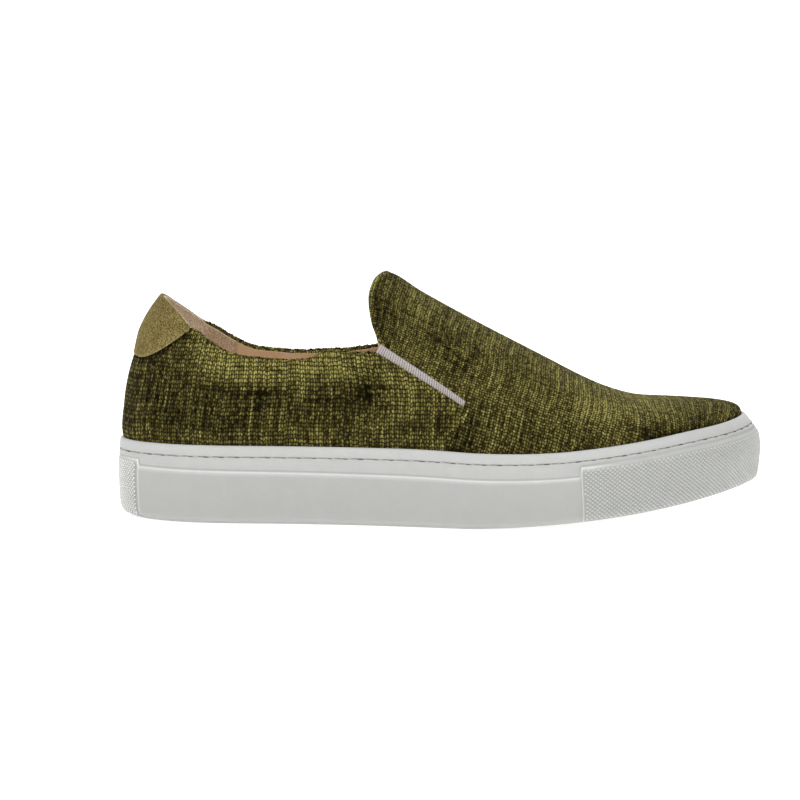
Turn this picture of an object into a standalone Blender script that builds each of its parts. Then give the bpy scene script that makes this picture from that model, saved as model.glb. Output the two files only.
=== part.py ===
"""Slip-on shoe for the right foot, on a stitched rubber cupsole.

The toe points along +X, the outer side of the foot faces -Y, and the sole stands on Z = 0.
Every piece follows one outline of the sole and one table of sections of the last. A place on the shoe is
named by its side and by "around": the share of the way along the sole's edge, heel to toe.
"""

import math

import bmesh
import bpy
import numpy as np

MM = 0.001
LATERAL, MEDIAL = -1, 1

# Cupsole
SOLE_LENGTH = 296.8 * MM
HEEL_WALL_HEIGHT = 35.4 * MM
FORE_WALL_HEIGHT = 32.4 * MM
WALL_DROP_FROM_X = -20 * MM
WALL_DROP_TO_X = 60 * MM
TOE_WALL_DROP = 2 * MM
TOE_DROP_FROM_X = 105 * MM
TOE_SPRING = 18.3 * MM
SPRING_START_X = 10 * MM
SPRING_CURVE = 1.5
HEEL_FLOOR = 15 * MM
FORE_FLOOR = 10 * MM
ARCH_DEPTH = 1.2 * MM
ARCH_MIDDLE_X = -50 * MM
ARCH_HALF_LENGTH = 35 * MM
ARCH_INSET = 13 * MM
PANEL_TOP_AT_HEEL = 0.67
PANEL_TOP_AT_BALL = 0.61
BUMPER_TOP = 0.775
BUMPER_PROUD = 0.7 * MM
HEEL_BUMPER_END = 0.068
TOE_BUMPER_START = 0.672
BUMPER_ENDS = (HEEL_BUMPER_END, TOE_BUMPER_START)
TOE_LEAN_START = 0.66

# Upper
UPPER_WALL = 2.2 * MM
FIT_GAP = 0.3 * MM
SIDE_INSET = 3.6 * MM
TOE_INSET = 8.2 * MM
LASTING_MARGIN = 10 * MM
THROAT = 0.415
GORE_END = 0.52
GORE_BOTTOM_Z = 54.7 * MM
SLOT_HEIGHT_AT_THROAT = 4.3 * MM
SLOT_HEIGHT_AT_END = 3.6 * MM
QUARTER_PROUD = 0.7 * MM
SEAM_STEP = 0.002
SEAM_LEAN = 0.028
SEAM_LEAN_FROM_SHARE = 0.25
SEAM_LEAN_TO_SHARE = 0.78

# Smaller pieces
GORE_THICKNESS = 1.2 * MM
GORE_OVERLAP = 4 * MM
GORE_LAP_PAST_END = 0.012
GORE_ROWS = 5
TAB_THICKNESS = 1.1 * MM
TAB_END = 0.135
TAB_ROWS = 5
INSOLE_THICKNESS = 4 * MM
INSOLE_CLEARANCE = 0.5 * MM
INSOLE_ROUND = 1 * MM

# Widest outline of the sole, in millimetres from the back of the heel and across it, inner side +
OUTLINE = (
    # place, along, across
    ("heel back", 0, 0),
    ("heel outer corner", 9, -24),
    ("heel outer side", 32, -37),
    ("heel breast outer", 75, -39.5),
    ("waist outer", 120, -42.5),
    ("outer joint", 165, -49.5),
    ("outer ball", 200, -53.2),
    ("little toe", 232, -51),
    ("outer toe", 262, -40),
    ("toe outer corner", 284.4, -22),
    ("toe tip", 296.8, 4),
    ("toe inner corner", 289.4, 27),
    ("big toe", 270, 43),
    ("inner joint", 240, 52.4),
    ("inner ball", 205, 51),
    ("inner arch", 165, 42),
    ("waist inner", 125, 35),
    ("heel breast inner", 80, 35),
    ("heel inner side", 34, 36),
    ("heel inner corner", 9, 24),
)
TOE_ROW = 10
SPLINE_STEPS = 40
HALVINGS = 40
WELD_DISTANCE = 0.01 * MM
SHARP_ANGLE = math.radians(40)

# Side wall of the cupsole, from the tread up: each row's share of the wall's height, its inset from the
# widest outline in millimetres, at the sides and at the toe, and whether the bumpers stand proud there
SIDE_WALL = (
    # place, level, side inset, toe inset, bumper
    ("tread edge", 0.0, 5.0, 4.0, 0),
    ("lower round", 0.035, 2.4, 1.6, 1),
    ("lower side", 0.13, 0.7, 0.7, 1),
    ("widest", 0.42, 0.0, 0.0, 1),
    ("panel top", None, 0.2, 1.0, 1),
    ("step", None, 1.0, 1.8, 0),
    ("groove foot", 0.84, 1.1, 3.2, 0),
    ("groove", 0.86, 1.8, 4.1, 0),
    ("rim foot", 0.88, 1.1, 3.8, 0),
    ("rim shoulder", 0.97, 1.5, 6.0, 0),
    ("rim top", 1.0, 2.2, 6.8, 0),
)
STEP_SHARE = 0.022

# Sections of the last: where each meets the ridge, the handle of its curve at the rim (rise as a share of
# the height, outward swell in millimetres), its handle at the ridge (reach as a share of the span), and how
# many millimetres it bows forward below the ridge
SECTIONS = (
    # around, ridge x, rise, swell, reach, bow
    (0.00, -85, 0.32, 7.8, 0.66, 0),
    (0.08, -85, 0.32, 5.8, 0.64, 0),
    (0.16, -81, 0.31, 3.5, 0.61, 0),
    (0.28, -64, 0.32, 2.0, 0.60, 0),
    (0.415, -26.5, 0.48, 1.5, 0.74, -7),
    (0.528, 14, 0.54, 1.0, 0.68, -2),
    (0.62, 42, 0.58, 1.0, 0.62, 0),
    (0.72, 68, 0.62, 1.0, 0.60, 0),
    (0.82, 88, 0.70, 1.0, 0.66, 0),
    (0.92, 99, 0.80, 0.5, 0.76, 0),
    (1.00, 102, 0.85, 0.0, 0.82, 0),
)
BOW_PEAK = (2 / 3) ** 4 * (1 / 3) ** 2

# Ridge of the last, heel to toe, in millimetres. Behind the throat it is the cone above the collar
RIDGE = (
    # x, y, z
    (-95, 0, 128),
    (-60, 0, 125),
    (-40, 0, 118),
    (-26.5, 0, 113.3),
    (-20, 0, 110.5),
    (-10, 0.5, 104),
    (13.6, 1, 91.3),
    (46.9, 2, 74.3),
    (66, 3, 64),
    (74, 3, 59.9),
    (84, 3.5, 56),
    (95, 4, 55.1),
    (104, 4, 54.9),
)

# Collar, in millimetres. It dips sooner on the outer side of the ankle, and lower on the inner side
COLLAR = (
    # around, outer height, inner height
    (0.00, 100.5, 100.5),
    (0.04, 99.8, 99.2),
    (0.08, 96.8, 95.5),
    (0.12, 90.9, 90.2),
    (0.16, 83.5, 84.6),
    (0.20, 77.4, 78.2),
    (0.24, 74.9, 74.7),
    (0.30, 74.3, 73.2),
    (0.36, 75.2, 74.8),
    (0.415, 78.4, 78.4),
)

# Lower edge of the heel tab, in millimetres
TAB_EDGE = (
    # around, height
    (0.00, 74.0),
    (0.05, 73.0),
    (0.08, 73.4),
    (0.10, 76.5),
    (0.12, 81.5),
    (0.135, 85.5),
)

# Stretches of the shoe from heel to toe, and the columns of faces in each
STRETCHES = (
    # start, end, columns
    (0.0, HEEL_BUMPER_END, 4),
    (HEEL_BUMPER_END, TAB_END, 4),
    (TAB_END, THROAT, 8),
    (THROAT, GORE_END, 6),
    (GORE_END, TOE_BUMPER_START, 5),
    (TOE_BUMPER_START, 1.0, 12),
)
QUARTER_ROWS = 6
VAMP_ROWS = 7

MATERIALS = {
    "rubber": ((0.82, 0.83, 0.81), 0.55),
    "fabric": ((0.13, 0.13, 0.03), 0.9),
    "elastic": ((0.72, 0.70, 0.72), 0.7),
    "suede": ((0.24, 0.20, 0.08), 0.95),
    "leather": ((0.46, 0.29, 0.17), 0.6),
}


def smoothstep(value, low, high):
    share = np.clip((value - low) / (high - low), 0.0, 1.0)
    return share * share * (3 - 2 * share)


def smooth_columns(rows, at):
    """Every column of a table, read smoothly at a value of its first column, level at both of its ends."""
    table = np.array(rows, float)
    keys, columns = table[:, 0], table[:, 1:]
    slopes = np.zeros_like(columns)
    slopes[1:-1] = (columns[2:] - columns[:-2]) / (keys[2:] - keys[:-2])[:, None]
    at = min(max(at, keys[0]), keys[-1])
    row = min(int(np.searchsorted(keys, at, side="right")) - 1, len(keys) - 2)
    width = keys[row + 1] - keys[row]
    t = (at - keys[row]) / width
    return (
        columns[row] * (2 * t**3 - 3 * t**2 + 1)
        + columns[row + 1] * (3 * t**2 - 2 * t**3)
        + slopes[row] * width * (t**3 - 2 * t**2 + t)
        + slopes[row + 1] * width * (t**3 - t**2)
    )


def closed_spline(points, steps):
    """Points along the smooth closed curve through the given ones, that many from each to the next."""
    count = len(points)
    following = np.roll(points, -1, axis=0)
    spans = np.linalg.norm(following - points, axis=1)
    slopes = (following - points) / spans[:, None]
    system = np.zeros((count, count))
    for i in range(count):
        system[i, i - 1] = spans[i - 1]
        system[i, i] = 2 * (spans[i - 1] + spans[i])
        system[i, (i + 1) % count] = spans[i]
    bends = np.linalg.solve(system, 6 * (slopes - np.roll(slopes, 1, axis=0)))
    curve = []
    for i in range(count):
        j = (i + 1) % count
        for share in np.arange(steps) / steps:
            left = 1 - share
            bend = bends[i] * (left**3 - left) + bends[j] * (share**3 - share)
            curve.append(points[i] * left + points[j] * share + bend * spans[i] ** 2 / 6)
    return np.array(curve)


class SoleOutline:
    """The widest outline of the sole, read by side, by around and by an inset from it."""

    def __init__(self):
        corners = np.array([(along, across) for _, along, across in OUTLINE]) * MM
        corners[:, 0] -= SOLE_LENGTH / 2
        curve = closed_spline(corners, SPLINE_STEPS)
        tangents = np.roll(curve, -1, axis=0) - np.roll(curve, 1, axis=0)
        tangents /= np.linalg.norm(tangents, axis=1)[:, None]
        self.points = np.vstack([curve, curve[:1]])
        self.inward = np.vstack([tangents, tangents[:1]]) @ np.array([[0.0, 1.0], [-1.0, 0.0]])
        steps = np.linalg.norm(np.diff(self.points, axis=0), axis=1)
        self.lengths = np.concatenate([[0.0], np.cumsum(steps)])
        self.toe_length = self.lengths[TOE_ROW * SPLINE_STEPS]

    def at(self, side, around, inset=0.0):
        whole = self.lengths[-1]
        length = around * self.toe_length if side == LATERAL else whole - around * (whole - self.toe_length)
        point, inward = (
            np.array([np.interp(length, self.lengths, column) for column in table.T])
            for table in (self.points, self.inward)
        )
        return point + inward * inset


OUTLINE_CURVE = SoleOutline()


def tread_height(x):
    lift = max(0.0, x - SPRING_START_X) / (SOLE_LENGTH / 2 - SPRING_START_X)
    return TOE_SPRING * lift**SPRING_CURVE


def wall_height(x):
    drop = (HEEL_WALL_HEIGHT - FORE_WALL_HEIGHT) * smoothstep(x, WALL_DROP_FROM_X, WALL_DROP_TO_X)
    return HEEL_WALL_HEIGHT - drop - TOE_WALL_DROP * smoothstep(x, TOE_DROP_FROM_X, SOLE_LENGTH / 2)


def rim_height(x):
    return tread_height(x) + wall_height(x)


def floor_height(x):
    thickness = HEEL_FLOOR + (FORE_FLOOR - HEEL_FLOOR) * smoothstep(x, WALL_DROP_FROM_X, WALL_DROP_TO_X)
    return tread_height(x) + thickness


def arch_height(x):
    reach = abs(x - ARCH_MIDDLE_X) / ARCH_HALF_LENGTH
    return ARCH_DEPTH * (1 - smoothstep(reach, 0.0, 1.0))


def toe_share(around):
    """0 along the sides, rising to 1 at the toe, where the side wall leans in over the upper."""
    return smoothstep(around, TOE_LEAN_START, 1.0)


def upper_inset(around):
    return SIDE_INSET + (TOE_INSET - SIDE_INSET) * toe_share(around)


def side_columns(steps=()):
    """The values of around for the columns of faces, heel to toe, with a close pair at each sharp step."""
    columns = [step + SEAM_STEP for step in steps]
    for start, end, count in STRETCHES:
        columns += [start + (end - start) * k / count for k in range(count)]
    return sorted(columns) + [1.0]


def ring_places(steps):
    """Side and around of each column, from the heel along the outer side to the toe and back."""
    columns = side_columns(steps)
    outer = [(LATERAL, around) for around in columns]
    inner = [(MEDIAL, around) for around in reversed(columns[1:-1])]
    return outer + inner


def on_bumper(around):
    return around <= HEEL_BUMPER_END or around > TOE_BUMPER_START


def wall_level(place, level, around):
    """Share of the wall's height of a row: the panel's top edge steps up where a bumper takes its place."""
    if level is not None:
        return level
    panel_top = PANEL_TOP_AT_HEEL + (PANEL_TOP_AT_BALL - PANEL_TOP_AT_HEEL) * around / TOE_BUMPER_START
    top = BUMPER_TOP if on_bumper(around) else panel_top
    return top if place == "panel top" else top + STEP_SHARE


def edge_ring(inset_of, height_of):
    """Points round the shoe: inset_of(around) from the outline, at height_of(x, outline_x, around)."""
    ring = []
    for side, around in ring_places(BUMPER_ENDS):
        x, y = OUTLINE_CURVE.at(side, around, inset_of(around))
        outline_x = OUTLINE_CURVE.at(side, around)[0]
        ring.append((x, y, height_of(x, outline_x, around)))
    return ring


def cupsole_rings():
    """Rings of the cupsole, from under its middle, up the side wall, over the rim and down to its floor."""
    under = lambda x, outline_x, around: tread_height(x) + arch_height(x)
    rings = [edge_ring(lambda around: ARCH_INSET, under)]
    for place, level, side_inset, toe_inset, bumper in SIDE_WALL:

        def inset_of(around):
            proud = BUMPER_PROUD if bumper and on_bumper(around) else 0.0
            return (side_inset + (toe_inset - side_inset) * toe_share(around)) * MM - proud

        def height_of(x, outline_x, around):
            return tread_height(outline_x) + wall_height(outline_x) * wall_level(place, level, around)

        rings.append(edge_ring(inset_of, height_of))
    inside = lambda around: upper_inset(around) - FIT_GAP
    rings.append(edge_ring(inside, lambda x, outline_x, around: rim_height(outline_x)))
    rings.append(edge_ring(inside, lambda x, outline_x, around: floor_height(x)))
    return rings


def insole_rings():
    inset = lambda around: upper_inset(around) + UPPER_WALL + INSOLE_CLEARANCE
    rounded = lambda around: inset(around) + INSOLE_ROUND
    under = lambda x: floor_height(x) + FIT_GAP + UPPER_WALL + FIT_GAP
    return [
        edge_ring(inset, lambda x, outline_x, around: under(x)),
        edge_ring(inset, lambda x, outline_x, around: under(x) + INSOLE_THICKNESS - INSOLE_ROUND),
        edge_ring(rounded, lambda x, outline_x, around: under(x) + INSOLE_THICKNESS),
    ]


def lofted_solid(name, rings):
    """A closed solid through rings of points, its first and last ring closed by strips from side to side."""
    count = len(rings[0])
    toe = count // 2
    mesh = bmesh.new()
    verts = [[mesh.verts.new(point) for point in ring] for ring in rings]
    for low, high in zip(verts, verts[1:]):
        for i in range(count):
            j = (i + 1) % count
            mesh.faces.new((low[i], low[j], high[j], high[i]))
    for ring in (verts[0], verts[-1]):
        mesh.faces.new((ring[0], ring[1], ring[-1]))
        mesh.faces.new((ring[toe - 1], ring[toe], ring[toe + 1]))
        for i in range(1, toe - 1):
            mesh.faces.new((ring[i], ring[i + 1], ring[count - i - 1], ring[count - i]))
    bmesh.ops.recalc_face_normals(mesh, faces=mesh.faces)
    return new_object(name, mesh)


def collar_height(side, around):
    outer, inner = smooth_columns(COLLAR, around) * MM
    return inner if side == MEDIAL else outer


def gore_height(around):
    """Lower edge of the gore slot, from the throat down to its end, and on along the vamp to the toe."""
    throat_z = collar_height(LATERAL, THROAT)
    share = (around - THROAT) / (GORE_END - THROAT)
    if share <= 1:
        return throat_z + (GORE_BOTTOM_Z - throat_z) * share
    rim, ridge = section_ends(LATERAL, around)
    end_rim, end_ridge = section_ends(LATERAL, GORE_END)
    level = (GORE_BOTTOM_Z - end_rim[2]) / (end_ridge[2] - end_rim[2])
    return rim[2] + (ridge[2] - rim[2]) * level


def slot_height(around):
    """Upright height of the gore slot, and past its end of the row of faces that carries on from it."""
    share = (around - THROAT) / (GORE_END - THROAT)
    if share <= 1:
        return SLOT_HEIGHT_AT_THROAT + (SLOT_HEIGHT_AT_END - SLOT_HEIGHT_AT_THROAT) * share
    ridge_z = section_ends(LATERAL, around)[1][2]
    even = (ridge_z - gore_height(around)) / (VAMP_ROWS + 1)
    blend = smoothstep(around, GORE_END, TOE_BUMPER_START)
    return SLOT_HEIGHT_AT_END + (even - SLOT_HEIGHT_AT_END) * blend


def section_ends(side, around):
    """Where a section of the last leaves the rim of the cupsole, and where it meets the ridge."""
    x, y = OUTLINE_CURVE.at(side, around, upper_inset(around))
    rim = np.array([x, y, rim_height(OUTLINE_CURVE.at(side, around)[0])])
    ridge_x = smooth_columns(SECTIONS, around)[0]
    ridge = np.array([ridge_x, *smooth_columns(RIDGE, ridge_x)]) * MM
    return rim, ridge


def section_curve(side, around):
    """Function of 0 to 1 that runs along a section of the last, from the rim up and over to the ridge."""
    rim, ridge = section_ends(side, around)
    _, rise, swell, reach, bow = smooth_columns(SECTIONS, around)
    outward = -(OUTLINE_CURVE.at(side, around, MM) - OUTLINE_CURVE.at(side, around)) / MM
    low = rim + np.array([*(outward * swell * MM), rise * (ridge[2] - rim[2])])
    high = ridge + np.array([*((rim - ridge)[:2] * reach), 0.0])

    def at(q):
        p = 1 - q
        point = p**3 * rim + 3 * p**2 * q * low + 3 * p * q**2 * high + q**3 * ridge
        point[0] += bow * MM * q**4 * p**2 / BOW_PEAK
        return point

    return at


def share_at_height(curve, height):
    """Where along a section it reaches a height, by halving."""
    low, high = 0.0, 1.0
    for _ in range(HALVINGS):
        middle = (low + high) / 2
        low, high = (middle, high) if curve(middle)[2] < height else (low, middle)
    return (low + high) / 2


def quarter_top(side, around):
    """Height of the top of the lower rows of faces: the collar, then the gore's lower edge."""
    return collar_height(side, around) if around <= THROAT else gore_height(around)


def seam_shift(around, share):
    """How far back a column goes at a share of the quarter's height, so that one follows the vamp seam."""
    near = smoothstep(around, THROAT, GORE_END) * (1 - smoothstep(around, GORE_END, TOE_BUMPER_START))
    return SEAM_LEAN * near * (1 - smoothstep(share, SEAM_LEAN_FROM_SHARE, SEAM_LEAN_TO_SHARE))


def quarter_point(side, around, share):
    """A point of the lower rows of faces, at a share of the way from the rim to their top."""
    moved = around - seam_shift(around, share)
    curve = section_curve(side, moved)
    top = quarter_top(side, around)
    rim = section_ends(side, moved)[0][2]
    return curve(share_at_height(curve, rim + (top - rim) * share))


def vamp_point(side, around, share):
    """A point of the vamp's upper rows of faces, at a share of the way from the gore slot to the ridge."""
    curve = section_curve(side, around)
    slot_top = share_at_height(curve, quarter_top(side, around) + slot_height(around))
    return curve(slot_top + (1 - slot_top) * share)


def upper_column(side, around):
    """Points of one column of the upper, from the lasting margin to the collar or to the vamp's ridge."""
    foot = around - seam_shift(around, 0.0)
    column = []
    for extra in (LASTING_MARGIN, 0.0):
        x, y = OUTLINE_CURVE.at(side, foot, upper_inset(foot) + extra)
        column.append(np.array([x, y, floor_height(x) + FIT_GAP]))
    column += [quarter_point(side, around, k / QUARTER_ROWS) for k in range(QUARTER_ROWS + 1)]
    if around >= THROAT:
        column += [vamp_point(side, around, k / VAMP_ROWS) for k in range(VAMP_ROWS + 1)]
    return column


def on_quarter(around, row):
    return around <= GORE_END and 2 < row <= QUARTER_ROWS + 2


def upper_base():
    """The last's surface as an open mesh, with how far each point of the upper stands proud of it."""
    mesh = bmesh.new()
    proud = mesh.verts.layers.float.new("proud")
    places = ring_places([GORE_END])
    columns = []
    for side, around in places:
        verts = [mesh.verts.new(point) for point in upper_column(side, around)]
        for row, vert in enumerate(verts):
            vert[proud] = QUARTER_PROUD if on_quarter(around, row) else 0.0
        columns.append(verts)
    slot_row = QUARTER_ROWS + 2
    for i, (column, following) in enumerate(zip(columns, columns[1:] + columns[:1])):
        first, second = places[i][1], places[(i + 1) % len(places)][1]
        in_slot = THROAT <= min(first, second) and max(first, second) <= GORE_END
        for row in range(min(len(column), len(following)) - 1):
            if in_slot and row == slot_row:
                continue
            mesh.faces.new((column[row], following[row], following[row + 1], column[row + 1]))
    bmesh.ops.remove_doubles(mesh, verts=mesh.verts, dist=WELD_DISTANCE)
    bmesh.ops.dissolve_degenerate(mesh, edges=mesh.edges, dist=WELD_DISTANCE)
    bmesh.ops.recalc_face_normals(mesh, faces=mesh.faces)
    mesh.normal_update()
    return mesh, proud


def shell_between(name, sheet, outer, inner):
    """A closed wall on an open sheet, from outer(vert) to inner(vert) along each point's normal."""
    mesh = bmesh.new()
    sides = []
    for offset in (outer, inner):
        side = {}
        for v in sheet.verts:
            side[v] = mesh.verts.new(v.co + v.normal * v.calc_shell_factor() * offset(v))
        sides.append(side)
    front, back = sides
    for face in sheet.faces:
        mesh.faces.new([front[v] for v in face.verts])
        mesh.faces.new([back[v] for v in reversed(face.verts)])
    for edge in sheet.edges:
        if edge.is_boundary:
            loop = edge.link_loops[0]
            start, end = loop.vert, loop.link_loop_next.vert
            mesh.faces.new((front[end], front[start], back[start], back[end]))
    return new_object(name, mesh)


def make_upper():
    sheet, proud = upper_base()
    upper = shell_between("upper", sheet, lambda v: v[proud], lambda v: -UPPER_WALL)
    sheet.free()
    return upper


def sheet_through(grid):
    """An open sheet of faces through a grid of points, its normals pointing out of the shoe."""
    mesh = bmesh.new()
    verts = [[mesh.verts.new(point) for point in line] for line in grid]
    for line, following in zip(verts, verts[1:]):
        for k in range(len(line) - 1):
            mesh.faces.new((line[k], following[k], following[k + 1], line[k + 1]))
    mesh.normal_update()
    return mesh


def make_gore(name, side):
    """The elastic strip behind a gore slot, lapping the slot's edges on the inside of the upper."""
    columns = [around for around in side_columns() if THROAT <= around <= GORE_END]
    columns.append(GORE_END + GORE_LAP_PAST_END)
    grid = []
    for around in columns:
        curve = section_curve(side, around)
        bottom = quarter_top(side, min(around, GORE_END))
        low = share_at_height(curve, bottom - GORE_OVERLAP)
        high = share_at_height(curve, bottom + slot_height(min(around, GORE_END)) + GORE_OVERLAP)
        grid.append([curve(low + (high - low) * k / GORE_ROWS) for k in range(GORE_ROWS + 1)])
    sheet = sheet_through(grid if side == LATERAL else grid[::-1])
    depth = UPPER_WALL + FIT_GAP
    gore = shell_between(name, sheet, lambda v: -depth, lambda v: -depth - GORE_THICKNESS)
    sheet.free()
    return gore


def make_heel_tab():
    """The suede tab round the back of the heel, lying on the quarters up to the collar."""
    columns = [around for around in side_columns() if around <= TAB_END]
    places = [(MEDIAL, around) for around in reversed(columns[1:])]
    places += [(LATERAL, around) for around in columns]
    grid = []
    for side, around in places:
        curve = section_curve(side, around)
        low = share_at_height(curve, smooth_columns(TAB_EDGE, around)[0] * MM)
        high = share_at_height(curve, collar_height(side, around))
        grid.append([curve(low + (high - low) * k / TAB_ROWS) for k in range(TAB_ROWS + 1)])
    sheet = sheet_through(grid)
    seat = QUARTER_PROUD + FIT_GAP
    tab = shell_between("heel_tab", sheet, lambda v: seat + TAB_THICKNESS, lambda v: seat)
    sheet.free()
    return tab


def new_object(name, mesh):
    data = bpy.data.meshes.new(name)
    mesh.to_mesh(data)
    mesh.free()
    return bpy.data.objects.new(name, data)


def finish(obj, material, collection):
    collection.objects.link(obj)
    obj.data.materials.append(material)
    obj.data.shade_smooth()
    obj.data.set_sharp_from_angle(angle=SHARP_ANGLE)


def make_materials():
    made = {}
    for name, (colour, roughness) in MATERIALS.items():
        material = bpy.data.materials.new(name)
        material.use_nodes = True
        shader = material.node_tree.nodes["Principled BSDF"]
        shader.inputs["Base Color"].default_value = (*colour, 1.0)
        shader.inputs["Roughness"].default_value = roughness
        shader.inputs["Metallic"].default_value = 0.0
        made[name] = material
    return made


def main():
    for obj in list(bpy.data.objects):
        bpy.data.objects.remove(obj)
    shoe = bpy.data.collections.new("slip_on_shoe")
    bpy.context.scene.collection.children.link(shoe)
    materials = make_materials()
    finish(lofted_solid("cupsole", cupsole_rings()), materials["rubber"], shoe)
    finish(make_upper(), materials["fabric"], shoe)
    finish(make_heel_tab(), materials["suede"], shoe)
    finish(make_gore("gore_lateral", LATERAL), materials["elastic"], shoe)
    finish(make_gore("gore_medial", MEDIAL), materials["elastic"], shoe)
    finish(lofted_solid("insole", insole_rings()), materials["leather"], shoe)


if __name__ == "__main__":
    main()
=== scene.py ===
# Looks of a slip-on shoe: woven upper, linings, elastic gores, suede heel tab and stitched rubber cupsole
import math

import bmesh
import bpy
import numpy as np
from mathutils import Matrix, Vector


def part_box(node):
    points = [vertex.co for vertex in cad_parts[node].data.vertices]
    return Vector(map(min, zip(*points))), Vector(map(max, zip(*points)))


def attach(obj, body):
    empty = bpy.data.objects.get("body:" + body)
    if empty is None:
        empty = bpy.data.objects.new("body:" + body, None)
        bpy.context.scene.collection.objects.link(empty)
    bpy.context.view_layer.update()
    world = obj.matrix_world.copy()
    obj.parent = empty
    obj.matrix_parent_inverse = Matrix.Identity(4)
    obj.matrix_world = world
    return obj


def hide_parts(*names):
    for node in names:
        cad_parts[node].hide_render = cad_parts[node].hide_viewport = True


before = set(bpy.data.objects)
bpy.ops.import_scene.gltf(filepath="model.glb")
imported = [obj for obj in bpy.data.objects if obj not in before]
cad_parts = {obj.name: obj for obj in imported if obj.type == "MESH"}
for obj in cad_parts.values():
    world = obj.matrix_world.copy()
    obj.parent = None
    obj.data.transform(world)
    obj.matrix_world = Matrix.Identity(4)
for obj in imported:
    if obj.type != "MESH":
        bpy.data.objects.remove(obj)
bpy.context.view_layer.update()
mm = 0.001
lateral, medial = -1, 1
print("frame:", sorted(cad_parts))


# Numbers and tables

def smoothStep(value, low, high):
    share = np.clip((value - low) / (high - low), 0.0, 1.0)
    return share * share * (3 - 2 * share)


def mixed(first, second, share):
    return first + (second - first) * share


def rowsBetween(low, high, count):
    return mixed(low, high, np.linspace(0, 1, count))


def bell(value, width):
    return np.exp(-((value / width) ** 2))


def readTable(rows, at):  # each column after the first, smoothly, level at both ends
    table = np.array(rows, float)
    keys, columns = table[:, 0], table[:, 1:]
    slopes = np.zeros_like(columns)
    slopes[1:-1] = (columns[2:] - columns[:-2]) / (keys[2:] - keys[:-2])[:, None]
    at = np.clip(np.asarray(at, float), keys[0], keys[-1])
    row = np.clip(np.searchsorted(keys, at, side="right") - 1, 0, len(keys) - 2)
    width = (keys[row + 1] - keys[row])[..., None]
    t = (at - keys[row])[..., None] / width
    value = columns[row] * (2 * t**3 - 3 * t**2 + 1) + columns[row + 1] * (3 * t**2 - 2 * t**3)
    value = value + slopes[row] * width * (t**3 - 2 * t**2 + t) + slopes[row + 1] * width * (t**3 - t**2)
    return np.moveaxis(value, -1, 0)


def readSide(rows, side, around):  # a table with a column for each side, in millimetres
    return readTable(rows, around)[0 if side == lateral else 1] * mm


def closedSpline(points, steps):  # smooth closed curve through the points
    count = len(points)
    following = np.roll(points, -1, axis=0)
    spans = np.linalg.norm(following - points, axis=1)
    slopes = (following - points) / spans[:, None]
    system = np.zeros((count, count))
    for i in range(count):
        system[i, i - 1] = spans[i - 1]
        system[i, i] = 2 * (spans[i - 1] + spans[i])
        system[i, (i + 1) % count] = spans[i]
    bends = np.linalg.solve(system, 6 * (slopes - np.roll(slopes, 1, axis=0)))
    share = (np.arange(steps) / steps)[None, :, None]
    left = 1 - share
    bend = bends[:, None] * (left**3 - left) + np.roll(bends, -1, axis=0)[:, None] * (share**3 - share)
    curve = points[:, None] * left + following[:, None] * share + bend * spans[:, None, None] ** 2 / 6
    return curve.reshape(-1, 2)


def noiseOf(*cells):  # a fixed random number from 0 to 1 for each cell
    total = sum(np.sin(cell * (12.9898 + 65.309 * i)) * 43758.5453 for i, cell in enumerate(cells))
    return total - np.floor(total)


def pushed(point, direction, distance):
    return point + direction * np.asarray(distance)[..., None]


def raised(flat, height):
    return np.concatenate([flat, height[..., None]], -1)


def outwardOf(side, along, up, lift=0.0):  # unit normals, with a little lift where a direction runs out
    normal = np.cross(along, up) * -side
    normal[..., 2] += lift
    return normal / np.linalg.norm(normal, axis=-1)[..., None]


# The last, as the solids have it
# A place is a side and "around", the share of the sole's edge from heel to toe

last = {
    "outline": (  # millimetres from the back of the heel, and across, inner side +
        (0, 0), (9, -24), (32, -37), (75, -39.5), (120, -42.5), (165, -49.5), (200, -53.2),
        (232, -51), (262, -40), (284.4, -22), (296.8, 4), (289.4, 27), (270, 43), (240, 52.4),
        (205, 51), (165, 42), (125, 35), (80, 35), (34, 36), (9, 24),
    ),
    "toeRow": 10,
    "splineSteps": 60,
    "sections": (  # around, ridge x, rise, swell, reach, bow
        (0.00, -85, 0.32, 7.8, 0.66, 0),
        (0.08, -85, 0.32, 5.8, 0.64, 0),
        (0.16, -81, 0.31, 3.5, 0.61, 0),
        (0.28, -64, 0.32, 2.0, 0.60, 0),
        (0.415, -26.5, 0.48, 1.5, 0.74, -7),
        (0.528, 14, 0.54, 1.0, 0.68, -2),
        (0.62, 42, 0.58, 1.0, 0.62, 0),
        (0.72, 68, 0.62, 1.0, 0.60, 0),
        (0.82, 88, 0.70, 1.0, 0.66, 0),
        (0.92, 99, 0.80, 0.5, 0.76, 0),
        (1.00, 102, 0.85, 0.0, 0.82, 0),
    ),
    "ridge": (  # x, y, z in millimetres
        (-95, 0, 128), (-60, 0, 125), (-40, 0, 118), (-26.5, 0, 113.3), (-20, 0, 110.5),
        (-10, 0.5, 104), (13.6, 1, 91.3), (46.9, 2, 74.3), (66, 3, 64), (74, 3, 59.9),
        (84, 3.5, 56), (95, 4, 55.1), (104, 4, 54.9),
    ),
    "collar": (  # around, outer and inner height in millimetres
        (0.00, 100.5, 100.5), (0.04, 99.8, 99.2), (0.08, 96.8, 95.5), (0.12, 90.9, 90.2),
        (0.16, 83.5, 84.6), (0.20, 77.4, 78.2), (0.24, 74.9, 74.7), (0.30, 74.3, 73.2),
        (0.36, 75.2, 74.8), (0.415, 78.4, 78.4),
    ),
    "insets": (3.6 * mm, 8.2 * mm),  # of the upper from the sole's edge, at the sides and at the toe
    "throat": 0.415,
    "goreEnd": 0.52,
    "goreBottom": 54.7 * mm,
    "seamLean": 0.028,
    "seamLeanShares": (0.25, 0.78),
    "step": 0.002,
}

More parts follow.
